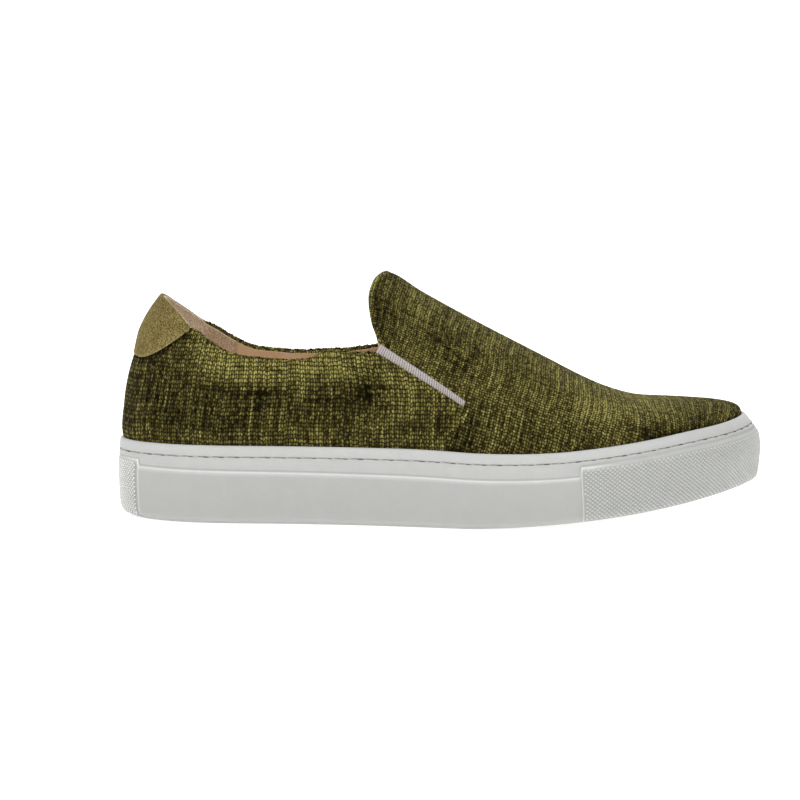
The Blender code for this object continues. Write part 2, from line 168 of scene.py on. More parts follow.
sole = {
    "heelWall": 35.4 * mm,
    "foreWall": 32.4 * mm,
    "wallDrop": (-20 * mm, 60 * mm),
    "toeDrop": 2 * mm,
    "toeDropFrom": 105 * mm,
    "toeSpring": 18.3 * mm,
    "springFrom": 10 * mm,
    "springCurve": 1.5,
    "heelFloor": 15 * mm,
    "foreFloor": 10 * mm,
    "archDepth": 1.2 * mm,
    "archMiddle": -50 * mm,
    "archHalf": 35 * mm,
    "archFrom": 5 * mm,
    "treadInsets": (13 * mm, 10.5 * mm, 8 * mm, 6 * mm),
    "bumperProud": 0.7 * mm,
    "heelProud": 0.5,
    "heelBumperEnd": 0.0855,
    "heelHalf": 0.3,
    "toeBumperStart": 0.672,
    "toeLeanFrom": 0.66,
    "bumperTop": 0.775,
    "panelTop": (0.695, 0.637),
    "columns": 420,
    "panel": (  # rows from the tread edge up: share of the panel's height, inset at the sides, at the toe
        (0.0, 0.0, 5.0, 4.0), (1.0, 0.055, 2.4, 1.6), (2.0, 0.2, 0.7, 0.7), (3.0, 0.656, 0.0, 0.0),
        (3.5, 0.85, 0.05, 0.65), (3.8, 0.972, 0.08, 1.5), (4.0, 1.0, 0.6, 2.1),
    ),
    "wall": (  # rows above the panel: level, inset at the sides, inset at the toe
        (0.0, 0.78, 1.0, 1.8), (1.0, 0.846, 1.1, 2.8), (1.4, 0.852, 1.25, 3.1), (2.0, 0.861, 1.75, 3.8),
        (2.6, 0.87, 1.25, 3.5), (3.0, 0.876, 1.1, 3.5), (4.0, 0.955, 1.3, 5.4), (4.6, 0.985, 1.65, 6.2),
        (5.0, 1.0, 2.3, 6.9),
    ),
    "heelFill": 1.4 * mm,
    "heelFillEnds": (0.03, 0.12),
    "stepLevel": 0.022,
    "stepInsets": (1.0 * mm, 1.7 * mm),
    "stepBlend": 0.0009,
    "stepRound": 0.3 * mm,
    "borderWidth": 0.0022,
    "borderProud": 0.22 * mm,
    "borderLean": 0.005,
    "fitGap": 0.3 * mm,
    "rimRound": 0.25 * mm,
    # Painted light on the white rubber: highlights on the toe bumper's border, the heel bumper's edge, the
    # panel's top edge, the wall and the rim; shade between the studs (more at the heel), at the step above
    # the panel (lightened at the toe), in the stitch groove, on the panel and towards the tread, and inside
    # the cup.
    "paintedLight": {  # painted light: lighter + for painted highlights, darker - for painted shade
        "studs": -0.12, "heelStuds": 1.7, "border": 0.3, "heelLine": 0.4, "topEdge": 0.4, "panel": -0.03,
        "panelFoot": -0.1, "step": (-0.02, -0.07, 0.06), "toeStep": (0.1, 0.14, 0.02), "wall": 0.08,
        "groove": -0.16, "rim": 0.05, "inside": -0.3,
    },
}
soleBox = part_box("cupsole")
soleHalf = (soleBox[1].x - soleBox[0].x) / 2 - sole["bumperProud"]

outlineCorners = np.array(last["outline"], float) * mm - np.array([soleHalf, 0])
outlineCurve = closedSpline(outlineCorners, last["splineSteps"])
outlineTangents = np.roll(outlineCurve, -1, axis=0) - np.roll(outlineCurve, 1, axis=0)
outlineTangents /= np.linalg.norm(outlineTangents, axis=1)[:, None]
outlinePoints = np.vstack([outlineCurve, outlineCurve[:1]])
outlineInward = np.vstack([outlineTangents, outlineTangents[:1]]) @ np.array([[0.0, 1.0], [-1.0, 0.0]])
outlineLengths = np.append(0, np.cumsum(np.linalg.norm(np.diff(outlinePoints, axis=0), axis=1)))
toeLength = outlineLengths[last["toeRow"] * last["splineSteps"]]


def sideLength(side):
    return toeLength if side == lateral else outlineLengths[-1] - toeLength


def outlineRead(side, around, table):
    length = np.asarray(around, float) * sideLength(side)
    length = length if side == lateral else outlineLengths[-1] - length
    return np.stack([np.interp(length, outlineLengths, column) for column in table.T], -1)


def outlineAt(side, around, inset=0.0):
    return pushed(outlineRead(side, around, outlinePoints), outlineRead(side, around, outlineInward), inset)


def treadHeight(x):
    lift = np.maximum(0.0, x - sole["springFrom"]) / (soleHalf - sole["springFrom"])
    return sole["toeSpring"] * lift ** sole["springCurve"]


def wallHeight(x):
    wall = mixed(sole["heelWall"], sole["foreWall"], smoothStep(x, *sole["wallDrop"]))
    return wall - sole["toeDrop"] * smoothStep(x, sole["toeDropFrom"], soleHalf)


def rimHeight(x):
    return treadHeight(x) + wallHeight(x)


def floorHeight(x):
    return treadHeight(x) + mixed(sole["heelFloor"], sole["foreFloor"], smoothStep(x, *sole["wallDrop"]))


def edgeInset(around, atSides, atToe):
    return mixed(atSides, atToe, smoothStep(around, sole["toeLeanFrom"], 1.0))


def upperInset(around):
    return edgeInset(around, *last["insets"])


class Sections:  # curves of the last from the rim up to the ridge, one for each place
    bowPeak = (2 / 3) ** 4 * (1 / 3) ** 2

    def __init__(self, side, around):
        around = np.asarray(around, float)
        foot, edge = outlineAt(side, around, upperInset(around)), outlineAt(side, around)
        ridgeX, rise, swell, reach, bow = readTable(last["sections"], around)
        self.rim = raised(foot, rimHeight(edge[..., 0]))
        self.ridge = np.stack([ridgeX, *readTable(last["ridge"], ridgeX)], -1) * mm
        span = self.ridge - self.rim
        swelling = -outlineRead(side, around, outlineInward) * swell[..., None] * mm
        self.low = self.rim + raised(swelling, rise * span[..., 2])
        self.high = self.ridge - span * reach[..., None] * (1, 1, 0)
        self.bow = bow * mm

    def at(self, q):
        q = np.asarray(q, float)
        b = q[..., None]
        a = 1 - b
        point = a**3 * self.rim + 3 * a**2 * b * self.low + 3 * a * b**2 * self.high + b**3 * self.ridge
        point[..., 0] += self.bow * q**4 * (1 - q) ** 2 / self.bowPeak
        return point

    def reach(self, height):  # where each curve gets to a height, by halving
        low, high = np.zeros_like(height), np.ones_like(height)
        for _ in range(26):
            middle = (low + high) / 2
            under = self.at(middle)[..., 2] < height
            low, high = np.where(under, middle, low), np.where(under, high, middle)
        return (low + high) / 2


def alongGore(around):
    return (around - last["throat"]) / (last["goreEnd"] - last["throat"])


def goreLine(around):  # straight lower edge of the gore slot
    throatZ = readSide(last["collar"], lateral, np.array(last["throat"]))
    return mixed(throatZ, last["goreBottom"], alongGore(around))


def goreHeight(around):  # the same edge, carried on along the vamp to the toe
    here, atEnd = Sections(lateral, around), Sections(lateral, np.array(last["goreEnd"]))
    level = (last["goreBottom"] - atEnd.rim[2]) / (atEnd.ridge[2] - atEnd.rim[2])
    onward = mixed(here.rim[..., 2], here.ridge[..., 2], level)
    return np.where(around <= last["goreEnd"], goreLine(around), onward)


def quarterTop(side, around):
    return np.where(around <= last["throat"], readSide(last["collar"], side, around), goreHeight(around))


def quarterRise(side, around):
    return quarterTop(side, around) - Sections(side, around).rim[..., 2]


def seamShift(around, share):
    near = smoothStep(around, last["throat"], last["goreEnd"])
    near = near * (1 - smoothStep(around, last["goreEnd"], sole["toeBumperStart"]))
    return last["seamLean"] * near * (1 - smoothStep(share, *last["seamLeanShares"]))


def lastPoint(side, around, level):
    # level: 0 at the rim, 1 at the collar or the gore's lower edge, 2 at the ridge, straight down below 0
    around, level = np.broadcast_arrays(np.asarray(around, float), np.asarray(level, float))
    share = np.clip(level, 0, 1)
    curves = Sections(side, around - seamShift(around, share))
    rise = quarterTop(side, around) - curves.rim[..., 2]
    q = curves.reach(curves.rim[..., 2] + rise * share)
    point = curves.at(q + (1 - q) * np.clip(level - 1, 0, 1))
    point[..., 2] += rise * np.minimum(level, 0)
    return point


def levelAt(side, around, height):  # level of a height above the rim, at or above the collar or gore line
    curves = Sections(side, around)
    base = curves.reach(quarterTop(side, around))
    return 1 + (curves.reach(height) - base) / (1 - base)


def lastFrame(side, around, level):  # points, outward normals, upward directions, lengths of a level
    step = last["step"]
    around, level = np.broadcast_arrays(np.asarray(around, float), np.asarray(level, float))
    forward = lastPoint(side, np.minimum(around + step, 1.0), level)
    back = lastPoint(side, np.maximum(around - step, 0.0), level)
    above, below = np.minimum(np.maximum(level, 0) + step, 2), np.maximum(np.maximum(level, 0) - step, 0)
    up = lastPoint(side, around, above) - lastPoint(side, around, below)
    length = np.linalg.norm(up, axis=-1)
    normal = outwardOf(side, forward - back, up, 2e-9)
    return lastPoint(side, around, level), normal, up / length[..., None], length / (above - below)


def shiftedPoints(side, around, level, offset):
    point, normal, _, _ = lastFrame(side, around, level)
    return pushed(point, normal, offset)


# Meshes

def newObject(name, data):
    made = bpy.data.objects.new(name, data)
    bpy.context.scene.collection.objects.link(made)
    return made


def newPiece(name, mesh, material, node=None):
    piece = newObject(name, mesh)
    mesh.materials.append(material)
    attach(piece, "root")
    if node:
        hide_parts(node)
    return piece


def gridFaces(columns, rows, spans, steps):  # quads over a grid of points, and their corners' shares of it
    c, k = (grid.ravel() for grid in np.meshgrid(np.arange(spans), np.arange(steps), indexing="ij"))
    c2, k2 = (c + 1) % columns, (k + 1) % rows
    quads = np.stack([c * rows + k, c2 * rows + k, c2 * rows + k2, c * rows + k2], 1)
    along, up = np.stack([c, c + 1, c + 1, c], 1) / spans, np.stack([k, k, k + 1, k + 1], 1) / steps
    return quads, np.stack([along, up], -1).reshape(-1, 2)


def addValues(mesh, key, numbers):
    layer = mesh.attributes.new(key, "FLOAT", "POINT")
    layer.data.foreach_set("value", np.asarray(numbers, np.float32).ravel())


def closedMesh(name, points, quads, caps, flat, values, weave=None):
    # flat: a place for each corner of a face. values: numbers for each point. weave: its place on the cloth
    mesh = bpy.data.meshes.new(name)
    mesh.from_pydata(points.tolist(), [], quads.tolist() + caps)
    mesh.uv_layers.new(name="OFBake").uv.foreach_set("vector", np.vstack(flat).astype(np.float32).ravel())
    if weave is not None:
        corners = np.empty(len(mesh.loops), np.int32)
        mesh.loops.foreach_get("vertex_index", corners)
        places = weave.reshape(-1, 2)[corners].astype(np.float32)
        mesh.uv_layers.new(name="weave").uv.foreach_set("vector", places.ravel())
    for key, numbers in (values or {}).items():
        addValues(mesh, key, numbers)
    first, second, third = (points[quads[:, corner]] for corner in range(3))
    if np.einsum("ij,ij->i", first, np.cross(second, third)).sum() < 0:
        mesh.flip_normals()
    mesh.shade_smooth()
    return mesh


def loftMesh(name, loops, values=None, weave=None, smooth=50, welded=False):
    # loops: columns of closed rings of points. A welded one closes by itself at its far end
    columns, ring = loops.shape[:2]
    quads, flat = gridFaces(columns, ring, columns - 1, ring)
    turn = np.arange(ring) / ring * 2 * math.pi
    first = np.arange(ring)
    caps = [first.tolist()] if welded else [first.tolist(), (first + (columns - 1) * ring)[::-1].tolist()]
    places = [flat * (0.97, 1)]
    for i in range(len(caps)):
        places.append(np.stack([0.985 + 0.01 * np.cos(turn), 0.5 * i + 0.25 + 0.2 * np.sin(turn)], 1))
    mesh = closedMesh(name, loops.reshape(-1, 3), quads, caps, places, values, weave)
    if welded:
        weld(mesh, 0.004 * mm)
    mesh.set_sharp_from_angle(angle=math.radians(smooth))
    return mesh


def weld(mesh, distance):
    work = bmesh.new()
    work.from_mesh(mesh)
    bmesh.ops.remove_doubles(work, verts=work.verts, dist=distance)
    bmesh.ops.dissolve_degenerate(work, edges=work.edges, dist=distance)
    work.to_mesh(mesh)
    work.free()


def ringMesh(name, sideRows, around, values=None, smooth=50):
    # a closed solid from rows of points of each side, its first and last row bridged from side to side
    def bothSides(rows):
        return np.concatenate([rows(lateral, around), rows(medial, around[1:-1])[::-1]])

    points = bothSides(sideRows)
    count, ring = points.shape[:2]
    toe = count // 2
    quads, flat = gridFaces(count, ring, count, ring - 1)
    i = np.arange(1, toe - 1)
    strips = np.stack([i, i + 1, count - i - 1, count - i], 1).tolist()
    strips += [[0, 1, count - 1], [toe - 1, toe, toe + 1]]
    caps, places = [], [flat * (1, 0.78)]
    for row, low in ((0, 0.8), (ring - 1, 0.9)):
        for strip in strips:
            strip = strip if row else strip[::-1]
            caps.append([at * ring + row for at in strip])
            x, y, _ = points[strip, row].T
            places.append(np.stack([x / 0.32 + 0.5, low + (y / 0.13 + 0.5) * 0.09], 1))
    values = {key: bothSides(numbers) for key, numbers in (values or {}).items()}
    mesh = closedMesh(name, points.reshape(-1, 3), quads, caps, places, values)
    mesh.set_sharp_from_angle(angle=math.radians(smooth))
    return mesh


# Shader and geometry trees

class Value:  # a socket that can stand in a sum
    def __init__(self, tree, socket):
        self.tree, self.socket = tree, socket

    def other(self, name):  # another output of the same node
        return Value(self.tree, self.socket.node.outputs[name])

    def maths(self, operation, *values):
        return self.tree.node("ShaderNodeMath", {"operation": operation}, dict(enumerate(values)))

    def __add__(self, b):
        return self.maths("ADD", self, b)

    def __mul__(self, b):
        return self.maths("MULTIPLY", self, b)

    __radd__, __rmul__ = __add__, __mul__

    def __sub__(self, b):
        return self.maths("SUBTRACT", self, b)

    def __rsub__(self, b):
        return self.maths("SUBTRACT", b, self)

    def __truediv__(self, b):
        return self.maths("DIVIDE", self, b)

    def __rtruediv__(self, b):
        return self.maths("DIVIDE", b, self)

    def __pow__(self, b):
        return self.maths("POWER", self, b)

    def __rpow__(self, b):
        return self.maths("POWER", b, self)

    def floor(self):
        return self.maths("FLOOR", self)

    def fract(self):
        return self.maths("FRACT", self)

    def size(self):
        return self.maths("ABSOLUTE", self)

    def clip(self, low, high):
        return self.maths("MINIMUM", self.maths("MAXIMUM", self, low), high)


class Tree:  # adds nodes to a tree, each by its type, settings and sockets
    def __init__(self, tree):
        self.tree = tree

    def node(self, kind, settings=None, sockets=None, out=0):
        made = self.tree.nodes.new(kind)
        for key, value in (settings or {}).items():
            if key == "stops":
                ramp = made.color_ramp
                while len(ramp.elements) < len(value):
                    ramp.elements.new(0.5)
                for element, (place, colour) in zip(ramp.elements, value):
                    element.position = place
                    element.color = (*colour, 1)
            else:
                setattr(made, key, value)
        for key, value in (sockets or {}).items():
            self.join(value, made.inputs[key])
        return None if out is None else Value(self, made.outputs[out])

    def join(self, value, socket):
        if isinstance(value, Value):
            self.tree.links.new(value.socket, socket)
        else:
            socket.default_value = value


class Finish(Tree):  # a material with one Principled shader
    def __init__(self, name, specular):
        self.material = bpy.data.materials.new(name)
        self.material.use_nodes = True
        super().__init__(self.material.node_tree)
        self.shader = self.tree.nodes["Principled BSDF"]
        self.shader.inputs["Specular IOR Level"].default_value = specular

    def place(self):
        return self.node("ShaderNodeTexCoord", out="Object")

    def parts(self, vector):  # the x and y of a vector
        split = self.node("ShaderNodeSeparateXYZ", {}, {0: vector})
        return split, split.other("Y")

    def weave(self):
        return self.parts(self.node("ShaderNodeUVMap", {"uv_map": "weave"}))

    def vector(self, x, y, z=0.0):
        return self.node("ShaderNodeCombineXYZ", {}, {0: x, 1: y, 2: z})

    def noise(self, vector, scale, detail=2.0, roughness=0.5):
        sockets = {"Vector": vector, "Scale": scale, "Detail": detail, "Roughness": roughness}
        return self.node("ShaderNodeTexNoise", {}, sockets)

    def spots(self, vector, scale):
        return self.node("ShaderNodeTexVoronoi", {"feature": "F1"}, {"Vector": vector, "Scale": scale})

    def attribute(self, name):
        return self.node("ShaderNodeAttribute", {"attribute_name": name}, out="Fac")

    def ramp(self, value, places, codes):
        stops = [(place, srgb(code)) for place, code in zip(places, codes)]
        return self.node("ShaderNodeValToRGB", {"stops": stops}, {0: value})

    def paint(self, colour, roughness):
        self.join(colour, self.shader.inputs["Base Color"])
        self.join(roughness, self.shader.inputs["Roughness"])

    def bump(self, height, distance, strength=1.0):
        sockets = {"Height": height, "Distance": distance, "Strength": strength}
        self.join(self.node("ShaderNodeBump", {}, sockets), self.shader.inputs["Normal"])
        return self.material


class Geometry(Tree):  # a geometry tree with named sizes
    def __init__(self, name, *sizes):
        group = bpy.data.node_groups.new(name, "GeometryNodeTree")
        super().__init__(group)
        sockets = [("Geometry", "Geometry"), *((size, "Float") for size in sizes)]
        for socket, kind in (*sockets, ("Seed", "Int"), ("Material", "Material")):
            group.interface.new_socket(socket, in_out="INPUT", socket_type="NodeSocket" + kind)
        group.interface.new_socket("Geometry", in_out="OUTPUT", socket_type="NodeSocketGeometry")
        self.start = self.node("NodeGroupInput")

    def size(self, name):
        return self.start.other(name)

    def sizes(self, *names):
        return self.node("ShaderNodeCombineXYZ", {}, {i: self.size(name) for i, name in enumerate(names)})

    def close(self, points, shape, rotation, scale):
        placed = self.node("GeometryNodeInstanceOnPoints", {}, {
            "Points": points, "Instance": shape, "Rotation": rotation, "Scale": scale})
        real = self.node("GeometryNodeRealizeInstances", {}, {"Geometry": placed})
        sockets = {"Geometry": real, "Material": self.size("Material")}
        done = self.node("GeometryNodeSetMaterial", {}, sockets)
        self.node("NodeGroupOutput", {}, {"Geometry": done}, None)
        return self.tree


def rowTree():  # rounded copies at one pitch along each line, a little different in size
    tree = Geometry("rowAlongPath", "Pitch", "Length", "Width", "Height")
    curve = tree.node("GeometryNodeMeshToCurve", {}, {"Mesh": tree.size("Geometry")})
    curve = tree.node("GeometryNodeSetCurveNormal", {"mode": "Z_UP"}, {"Curve": curve})
    sockets = {"Curve": curve, "Length": tree.size("Pitch")}
    points = tree.node("GeometryNodeCurveToPoints", {"mode": "LENGTH"}, sockets)
    ball = tree.node("GeometryNodeMeshUVSphere", {}, {"Segments": 8, "Rings": 6, "Radius": 0.5})
    ball = tree.node("GeometryNodeSetShadeSmooth", {}, {"Geometry": ball})
    share = tree.node("FunctionNodeRandomValue", {}, {2: 0.8, 3: 1.15, "Seed": tree.size("Seed")}, 1)
    sockets = {0: tree.sizes("Height", "Width", "Length"), "Scale": share}
    scale = tree.node("ShaderNodeVectorMath", {"operation": "SCALE"}, sockets)
    return tree.close(points, ball, points.other("Rotation"), scale)


def studTree():  # low lozenges on points, each turned by its attributes out and along
    tree = Geometry("studsOnPoints", "Along", "Up", "Height")
    kind = {"data_type": "FLOAT_VECTOR"}
    out = tree.node("GeometryNodeInputNamedAttribute", kind, {"Name": "out"})
    along = tree.node("GeometryNodeInputNamedAttribute", kind, {"Name": "along"})
    turned = tree.node("FunctionNodeAlignRotationToVector", {"axis": "Z"}, {"Vector": out})
    sockets = {"Rotation": turned, "Vector": along}
    turned = tree.node("FunctionNodeAlignRotationToVector", {"axis": "X", "pivot_axis": "Z"}, sockets)
    sockets = {"Vertices": 4, "Radius Top": 0.28, "Radius Bottom": 0.5, "Depth": 1.0}
    stud = tree.node("GeometryNodeMeshCone", {}, sockets)
    return tree.close(tree.size("Geometry"), stud, turned, tree.sizes("Along", "Up", "Height"))


def srgb(code):  # linear colour of a hex colour
    parts = [int(code[i:i + 2], 16) / 255 for i in (0, 2, 4)]
    return tuple(p / 12.92 if p <= 0.04045 else ((p + 0.055) / 1.055) ** 2.4 for p in parts)


# Studio: pale floor, soft light, and a long lens at the height of a low table

studio = {
    "cameraAt": (-18.8 * mm, -965 * mm, 152 * mm),
    "pitchDown": 5.858,
    "roll": 0.6,
    "lens": 94.05,
    "sensor": 36.0,
    "clipStart": 0.05,
    "sky": 0.32,
    "lights": (  # name, place, aim, width and depth in metres, power
        ("keyLight", (-0.25, -0.35, 1.3), (0, 0, 0.03), (1.4, 1.2), 13.0),
        ("fillLight", (0.5, -1.3, 0.6), (0.03, 0, 0.04), (1.0, 0.8), 2.6),
        ("backLight", (0.2, 0.9, 0.9), (0, 0, 0.05), (1.0, 0.6), 4.0),
    ),
    "floorHalf": 5,
    "floorFront": -4,
    "floorDepth": 2.2,
    "floorCurve": 0.8,
    "floorColour": (0.9, 0.9, 0.9, 1),
    "floorGlow": 0.6,
}


def sweepMesh():  # a floor that curves up into a back wall
    half, depth, curve = studio["floorHalf"], studio["floorDepth"], studio["floorCurve"]
    turn = np.linspace(0, math.pi / 2, 25)
    y = np.concatenate([[studio["floorFront"]], depth + curve * np.sin(turn), [depth + curve]])
    z = np.concatenate([[0], curve * (1 - np.cos(turn)), [half]])
    points = [(x, *place) for place in zip(y, z) for x in (-half, half)]
    mesh = bpy.data.meshes.new("floor")
    mesh.from_pydata(points, [], [(i, i + 1, i + 3, i + 2) for i in range(0, len(points) - 2, 2)])
    mesh.shade_smooth()
    return mesh


def makeStudio():
    scene = bpy.context.scene
    data = bpy.data.cameras.new("camera")
    data.lens, data.sensor_width, data.clip_start = studio["lens"], studio["sensor"], studio["clipStart"]
    scene.camera = newObject("camera", data)
    turn = Matrix.Rotation(math.radians(90 - studio["pitchDown"]), 4, "X")
    roll = Matrix.Rotation(math.radians(studio["roll"]), 4, "Z")
    scene.camera.matrix_world = Matrix.Translation(studio["cameraAt"]) @ turn @ roll
    scene.world = bpy.data.worlds.new("studio")
    scene.world.use_nodes = True
    sky = scene.world.node_tree.nodes["Background"]
    sky.inputs["Color"].default_value = (1, 1, 1, 1)
    sky.inputs["Strength"].default_value = studio["sky"]
    for name, at, aim, size, power in studio["lights"]:
        data = bpy.data.lights.new(name, "AREA")
        data.shape = "RECTANGLE"
        data.size, data.size_y = size
        data.energy = power
        lamp = newObject(name, data)
        lamp.location = at
        lamp.rotation_euler = (Vector(aim) - Vector(at)).to_track_quat("-Z", "Y").to_euler()
    floor = newObject("floor", sweepMesh())
    finish = Finish("paleFloor", 0.5)
    finish.paint(studio["floorColour"], 0.9)
    finish.shader.inputs["Emission Color"].default_value = (1, 1, 1, 1)
    finish.shader.inputs["Emission Strength"].default_value = studio["floorGlow"]
    floor.data.materials.append(finish.material)
    scene.view_settings.view_transform = "Standard"


makeStudio()
print("studio: camera, lights and floor")


# Finishes

colours = {
    "fabric": ("0e0a01", "29230b", "585129", "878044", "b6af66"),
    "rubber": ("8d8e8a", "b6b7b4", "e6e7e5"),
    "suede": ("483c1c", "73653a", "a1925d"),
    "grip": ("ae987f", "cfb99f", "e4d1bb"),
    "leather": ("d2b491", "e0c29f", "ebd0af"),
    "elastic": ("7d7572", "c3bbb7"),
    # dark dashes at the stitch holes: painted shadow
    "holeShadow": "585854",
    "thread": "d6d6d0",
    "gripThread": "f2dfc4",
}

knit = {  # sizes in millimetres along and up the cloth, then shares of its shade
    "rowPitch": 1.9,
    "wale": 2.25,
    "slant": 0.55,
    "ragged": 0.36,
    "wander": (0.7, 0.3),
    "base": 0.565,
    "fleck": 0.45,
    "fibre": 0.6,
    "streaks": (1.5, 0.5),  # of the lighter and of the darker wales
    "bands": (0.25, 0.7),  # of the lighter and of the darker rows
    "everyOther": 0.12,
    "tallPatch": 0.2,
    "patch": 0.12,
    # painted shade: darker in the hollows between loops and in the gaps between rows
    "hollowShade": 0.8,
    "gap": 0.7,
    "stops": (0.02, 0.18, 0.42, 0.65, 0.95),
    "bump": 0.55 * mm,
}


def wovenFinish(name):
    finish = Finish(name, 0.06)
    u, v = finish.weave()

    def cloud(scaleU, scaleV, layer, detail=1.0):  # noise from about -0.5 to 0.5, stretched along u or v
        return finish.noise(finish.vector(u * scaleU, v * scaleV, layer), 1.0, detail) - 0.5

    def chance(*cells):
        vector = finish.vector(*cells)
        return finish.node("ShaderNodeTexWhiteNoise", {"noise_dimensions": "3D"}, {"Vector": vector})

    def wander(fine, layer):
        broad, small = knit["wander"]
        return cloud(0.3, 0.3, layer) * broad + cloud(fine, fine, layer + 1) * small

    def uneven(x, y, layer, light, dark):
        value = finish.noise(finish.vector(x, y, layer), 1.0, 1.0) - 0.5
        return value.clip(0.0, 1.0) * light + value.clip(-1.0, 0.0) * dark

    wales = (u + wander(1.1, 3.0)) / knit["wale"]  # columns of stitches, with two legs each
    legs = wales * 2
    leg, inWale = legs.floor(), wales.fract()
    fibre = cloud(1.7, 1.7, 6.0, 3.0)
    rows = (v + wander(1.2, 1.0)) / knit["rowPitch"] + (inWale - 0.5).size() * knit["slant"]
    rows = rows + chance(leg, 0.0, 0.0) * knit["ragged"] + fibre * 0.3
    row, inRow = rows.floor(), rows.fract()
    inLeg = legs.fract() - 0.5 + (chance(leg, row, 3.0) - 0.5) * 0.4 + fibre * 0.4
    crown = inRow * (1 - inRow) * 4  # 1 along the middle of a row
    strand = (1 - inLeg * inLeg * 4.2).clip(0.0, 1.0)
    height = (crown + fibre * 0.6).clip(0.0, 1.0) ** 0.6 * (0.3 + 0.7 * strand)
    height = height * (0.55 + 1.8 * inWale * (1 - inWale))
    gap = (1 - crown) ** 3 * (cloud(0.03, 0.6, 5.0) * 9 + 0.6).clip(0.1, 1.35)
    patches = cloud(0.16, 0.02, 9.0) * knit["tallPatch"] + cloud(0.07, 0.08, 10.0, 2.0) * knit["patch"]
    streaks = uneven(leg * 3.71, v * 0.025, 7.0, *knit["streaks"])
    streaks = streaks + (wales.floor() * 0.5).fract() * knit["everyOther"]
    bands = uneven(u * 0.04, row * 3.71, 8.0, *knit["bands"])
    shade = knit["base"] + (chance(leg, row, 1.0) - 0.5) * knit["fleck"] + streaks + bands + patches
    # painted light and shade of the fabric, with its own tone, from its attribute
    shade = shade + fibre * knit["fibre"] + finish.attribute("tone")
    # painted shade in the loops' hollows and between the rows
    shade = shade * (1 - (1 - height) * knit["hollowShade"]) * (1 - gap * knit["gap"])
    shade = shade.clip(0.0, 1.0)
    finish.paint(finish.ramp(shade, knit["stops"], colours["fabric"]), 0.98 - shade * 0.12)
    return finish.bump(height + fibre * knit["fibre"], knit["bump"])


def loopFinish(name):  # loose loops along an edge, in the colours of the fabric
    finish = Finish(name, 0.06)
    place = finish.place()
    fine = finish.noise(place, 1600.0)
    shade = finish.noise(place, 420.0) * 1.5 + fine * 0.8 - 0.78
    finish.paint(finish.ramp(shade, (0.05, 0.2, 0.42, 0.65, 0.95), colours["fabric"]), 0.98 - shade * 0.1)
    return finish.bump(fine, 0.4 * mm)


def napFinish(name, codes, grain, depth):
    finish = Finish(name, 0.08)
    place = finish.place()
    fine = finish.noise(place, grain, 3.0, 0.65)
    shade = finish.noise(place, grain * 0.12, 3.0, 0.6) * 0.12 + fine * 0.88 + finish.attribute("tone")
    finish.paint(finish.ramp(shade, (0.42, 0.5, 0.58), codes), 0.95 - fine * 0.08)
    return finish.bump(fine, depth)


def leatherFinish(name):
    finish = Finish(name, 0.3)
    place = finish.place()
    cloud = finish.noise(place, 60.0, 3.0)
    finish.paint(finish.ramp(cloud, (0.3, 0.5, 0.75), colours["leather"]), 0.55 + cloud * 0.2)
    return finish.bump(finish.spots(place, 1400.0), 0.12 * mm, 0.6)


def elasticFinish(name, ribPitch=1.12, threadPitch=0.7):
    finish = Finish(name, 0.25)
    u, v = finish.weave()
    ribs = u / ribPitch
    rib = ribs.fract()
    thread = (v / threadPitch + ribs.floor() * 0.5).fract()
    height = (rib * (1 - rib) * 4) ** 0.7 * (0.7 + thread * (1 - thread) * 4 * 0.3)
    tint = finish.noise(finish.vector(u * 0.8, v * 0.8), 1.0)
    # colour darker between the ribs: painted shade
    shade = height * 0.7 + tint * 0.3
    finish.paint(finish.ramp(shade, (0.15, 0.8), colours["elastic"]), 0.75 + tint * 0.15)
    return finish.bump(height, 0.3 * mm)


def rubberFinish(name):  # faint specks all over, oblique bars under the tread, and painted light and shade from the shade attribute
    finish = Finish(name, 0.35)
    place = finish.place()
    x, y = finish.parts(place)
    speck = finish.noise(place, 900.0)
    dust = finish.noise(place, 160.0, 3.0, 0.6)
    bar = ((x + y * 0.6) * 160.0).fract() - 0.5
    bar = (bar * bar * 14.0).clip(0.0, 1.0)
    fleck = (1 - finish.spots(place, 85.0) * 16.0).clip(0.0, 1.0) * ((dust - 0.5) * 8.0).clip(0.0, 1.0)
    # the shade attribute: painted highlights and painted shade of the sole and the studs
    shade = 0.5 + finish.attribute("shade") + (dust - 0.5) * 0.12 + (speck - 0.5) * 0.06 - fleck * 0.4
    finish.paint(finish.ramp(shade, (0.0, 0.5, 1.0), colours["rubber"]), 0.5 + dust * 0.18)
    return finish.bump(speck * 0.05 + bar * finish.attribute("under"), 0.8 * mm, 0.6)


def plainFinish(name, code):
    finish = Finish(name, 0.2)
    cloud = finish.noise(finish.place(), 700.0)
    darker, colour = ((*(part * share for part in srgb(code)), 1) for share in (0.8, 1.0))
    blend = finish.node("ShaderNodeMix", {"data_type": "RGBA"}, {0: cloud, 6: darker, 7: colour}, 2)
    finish.paint(blend, 0.9 - cloud * 0.1)
    return finish.bump(cloud, 0.05 * mm)


woven = wovenFinish("wovenFabric")
looseLoops = loopFinish("edgeLoops")
suede = napFinish("heelSuede", colours["suede"], 2100.0, 0.3 * mm)
gripSuede = napFinish("gripSuede", colours["grip"], 1800.0, 0.15 * mm)
leather = leatherFinish("liningLeather")
elastic = elasticFinish("elasticWeb")
rubber = rubberFinish("whiteRubber")
holeShadowFinish = plainFinish("stitchShadow", colours["holeShadow"])
thread = plainFinish("stitchThread", colours["thread"])
gripThread = plainFinish("gripThread", colours["gripThread"])
print("finishes: fabric, suede, leather, elastic, rubber and thread")


# Cupsole

def heelOr(around, atHeel, atToe):
    return np.where(around < sole["heelHalf"], atHeel, atToe)


def heelShare(around):
    return 1 - smoothStep(around, *sole["heelFillEnds"])


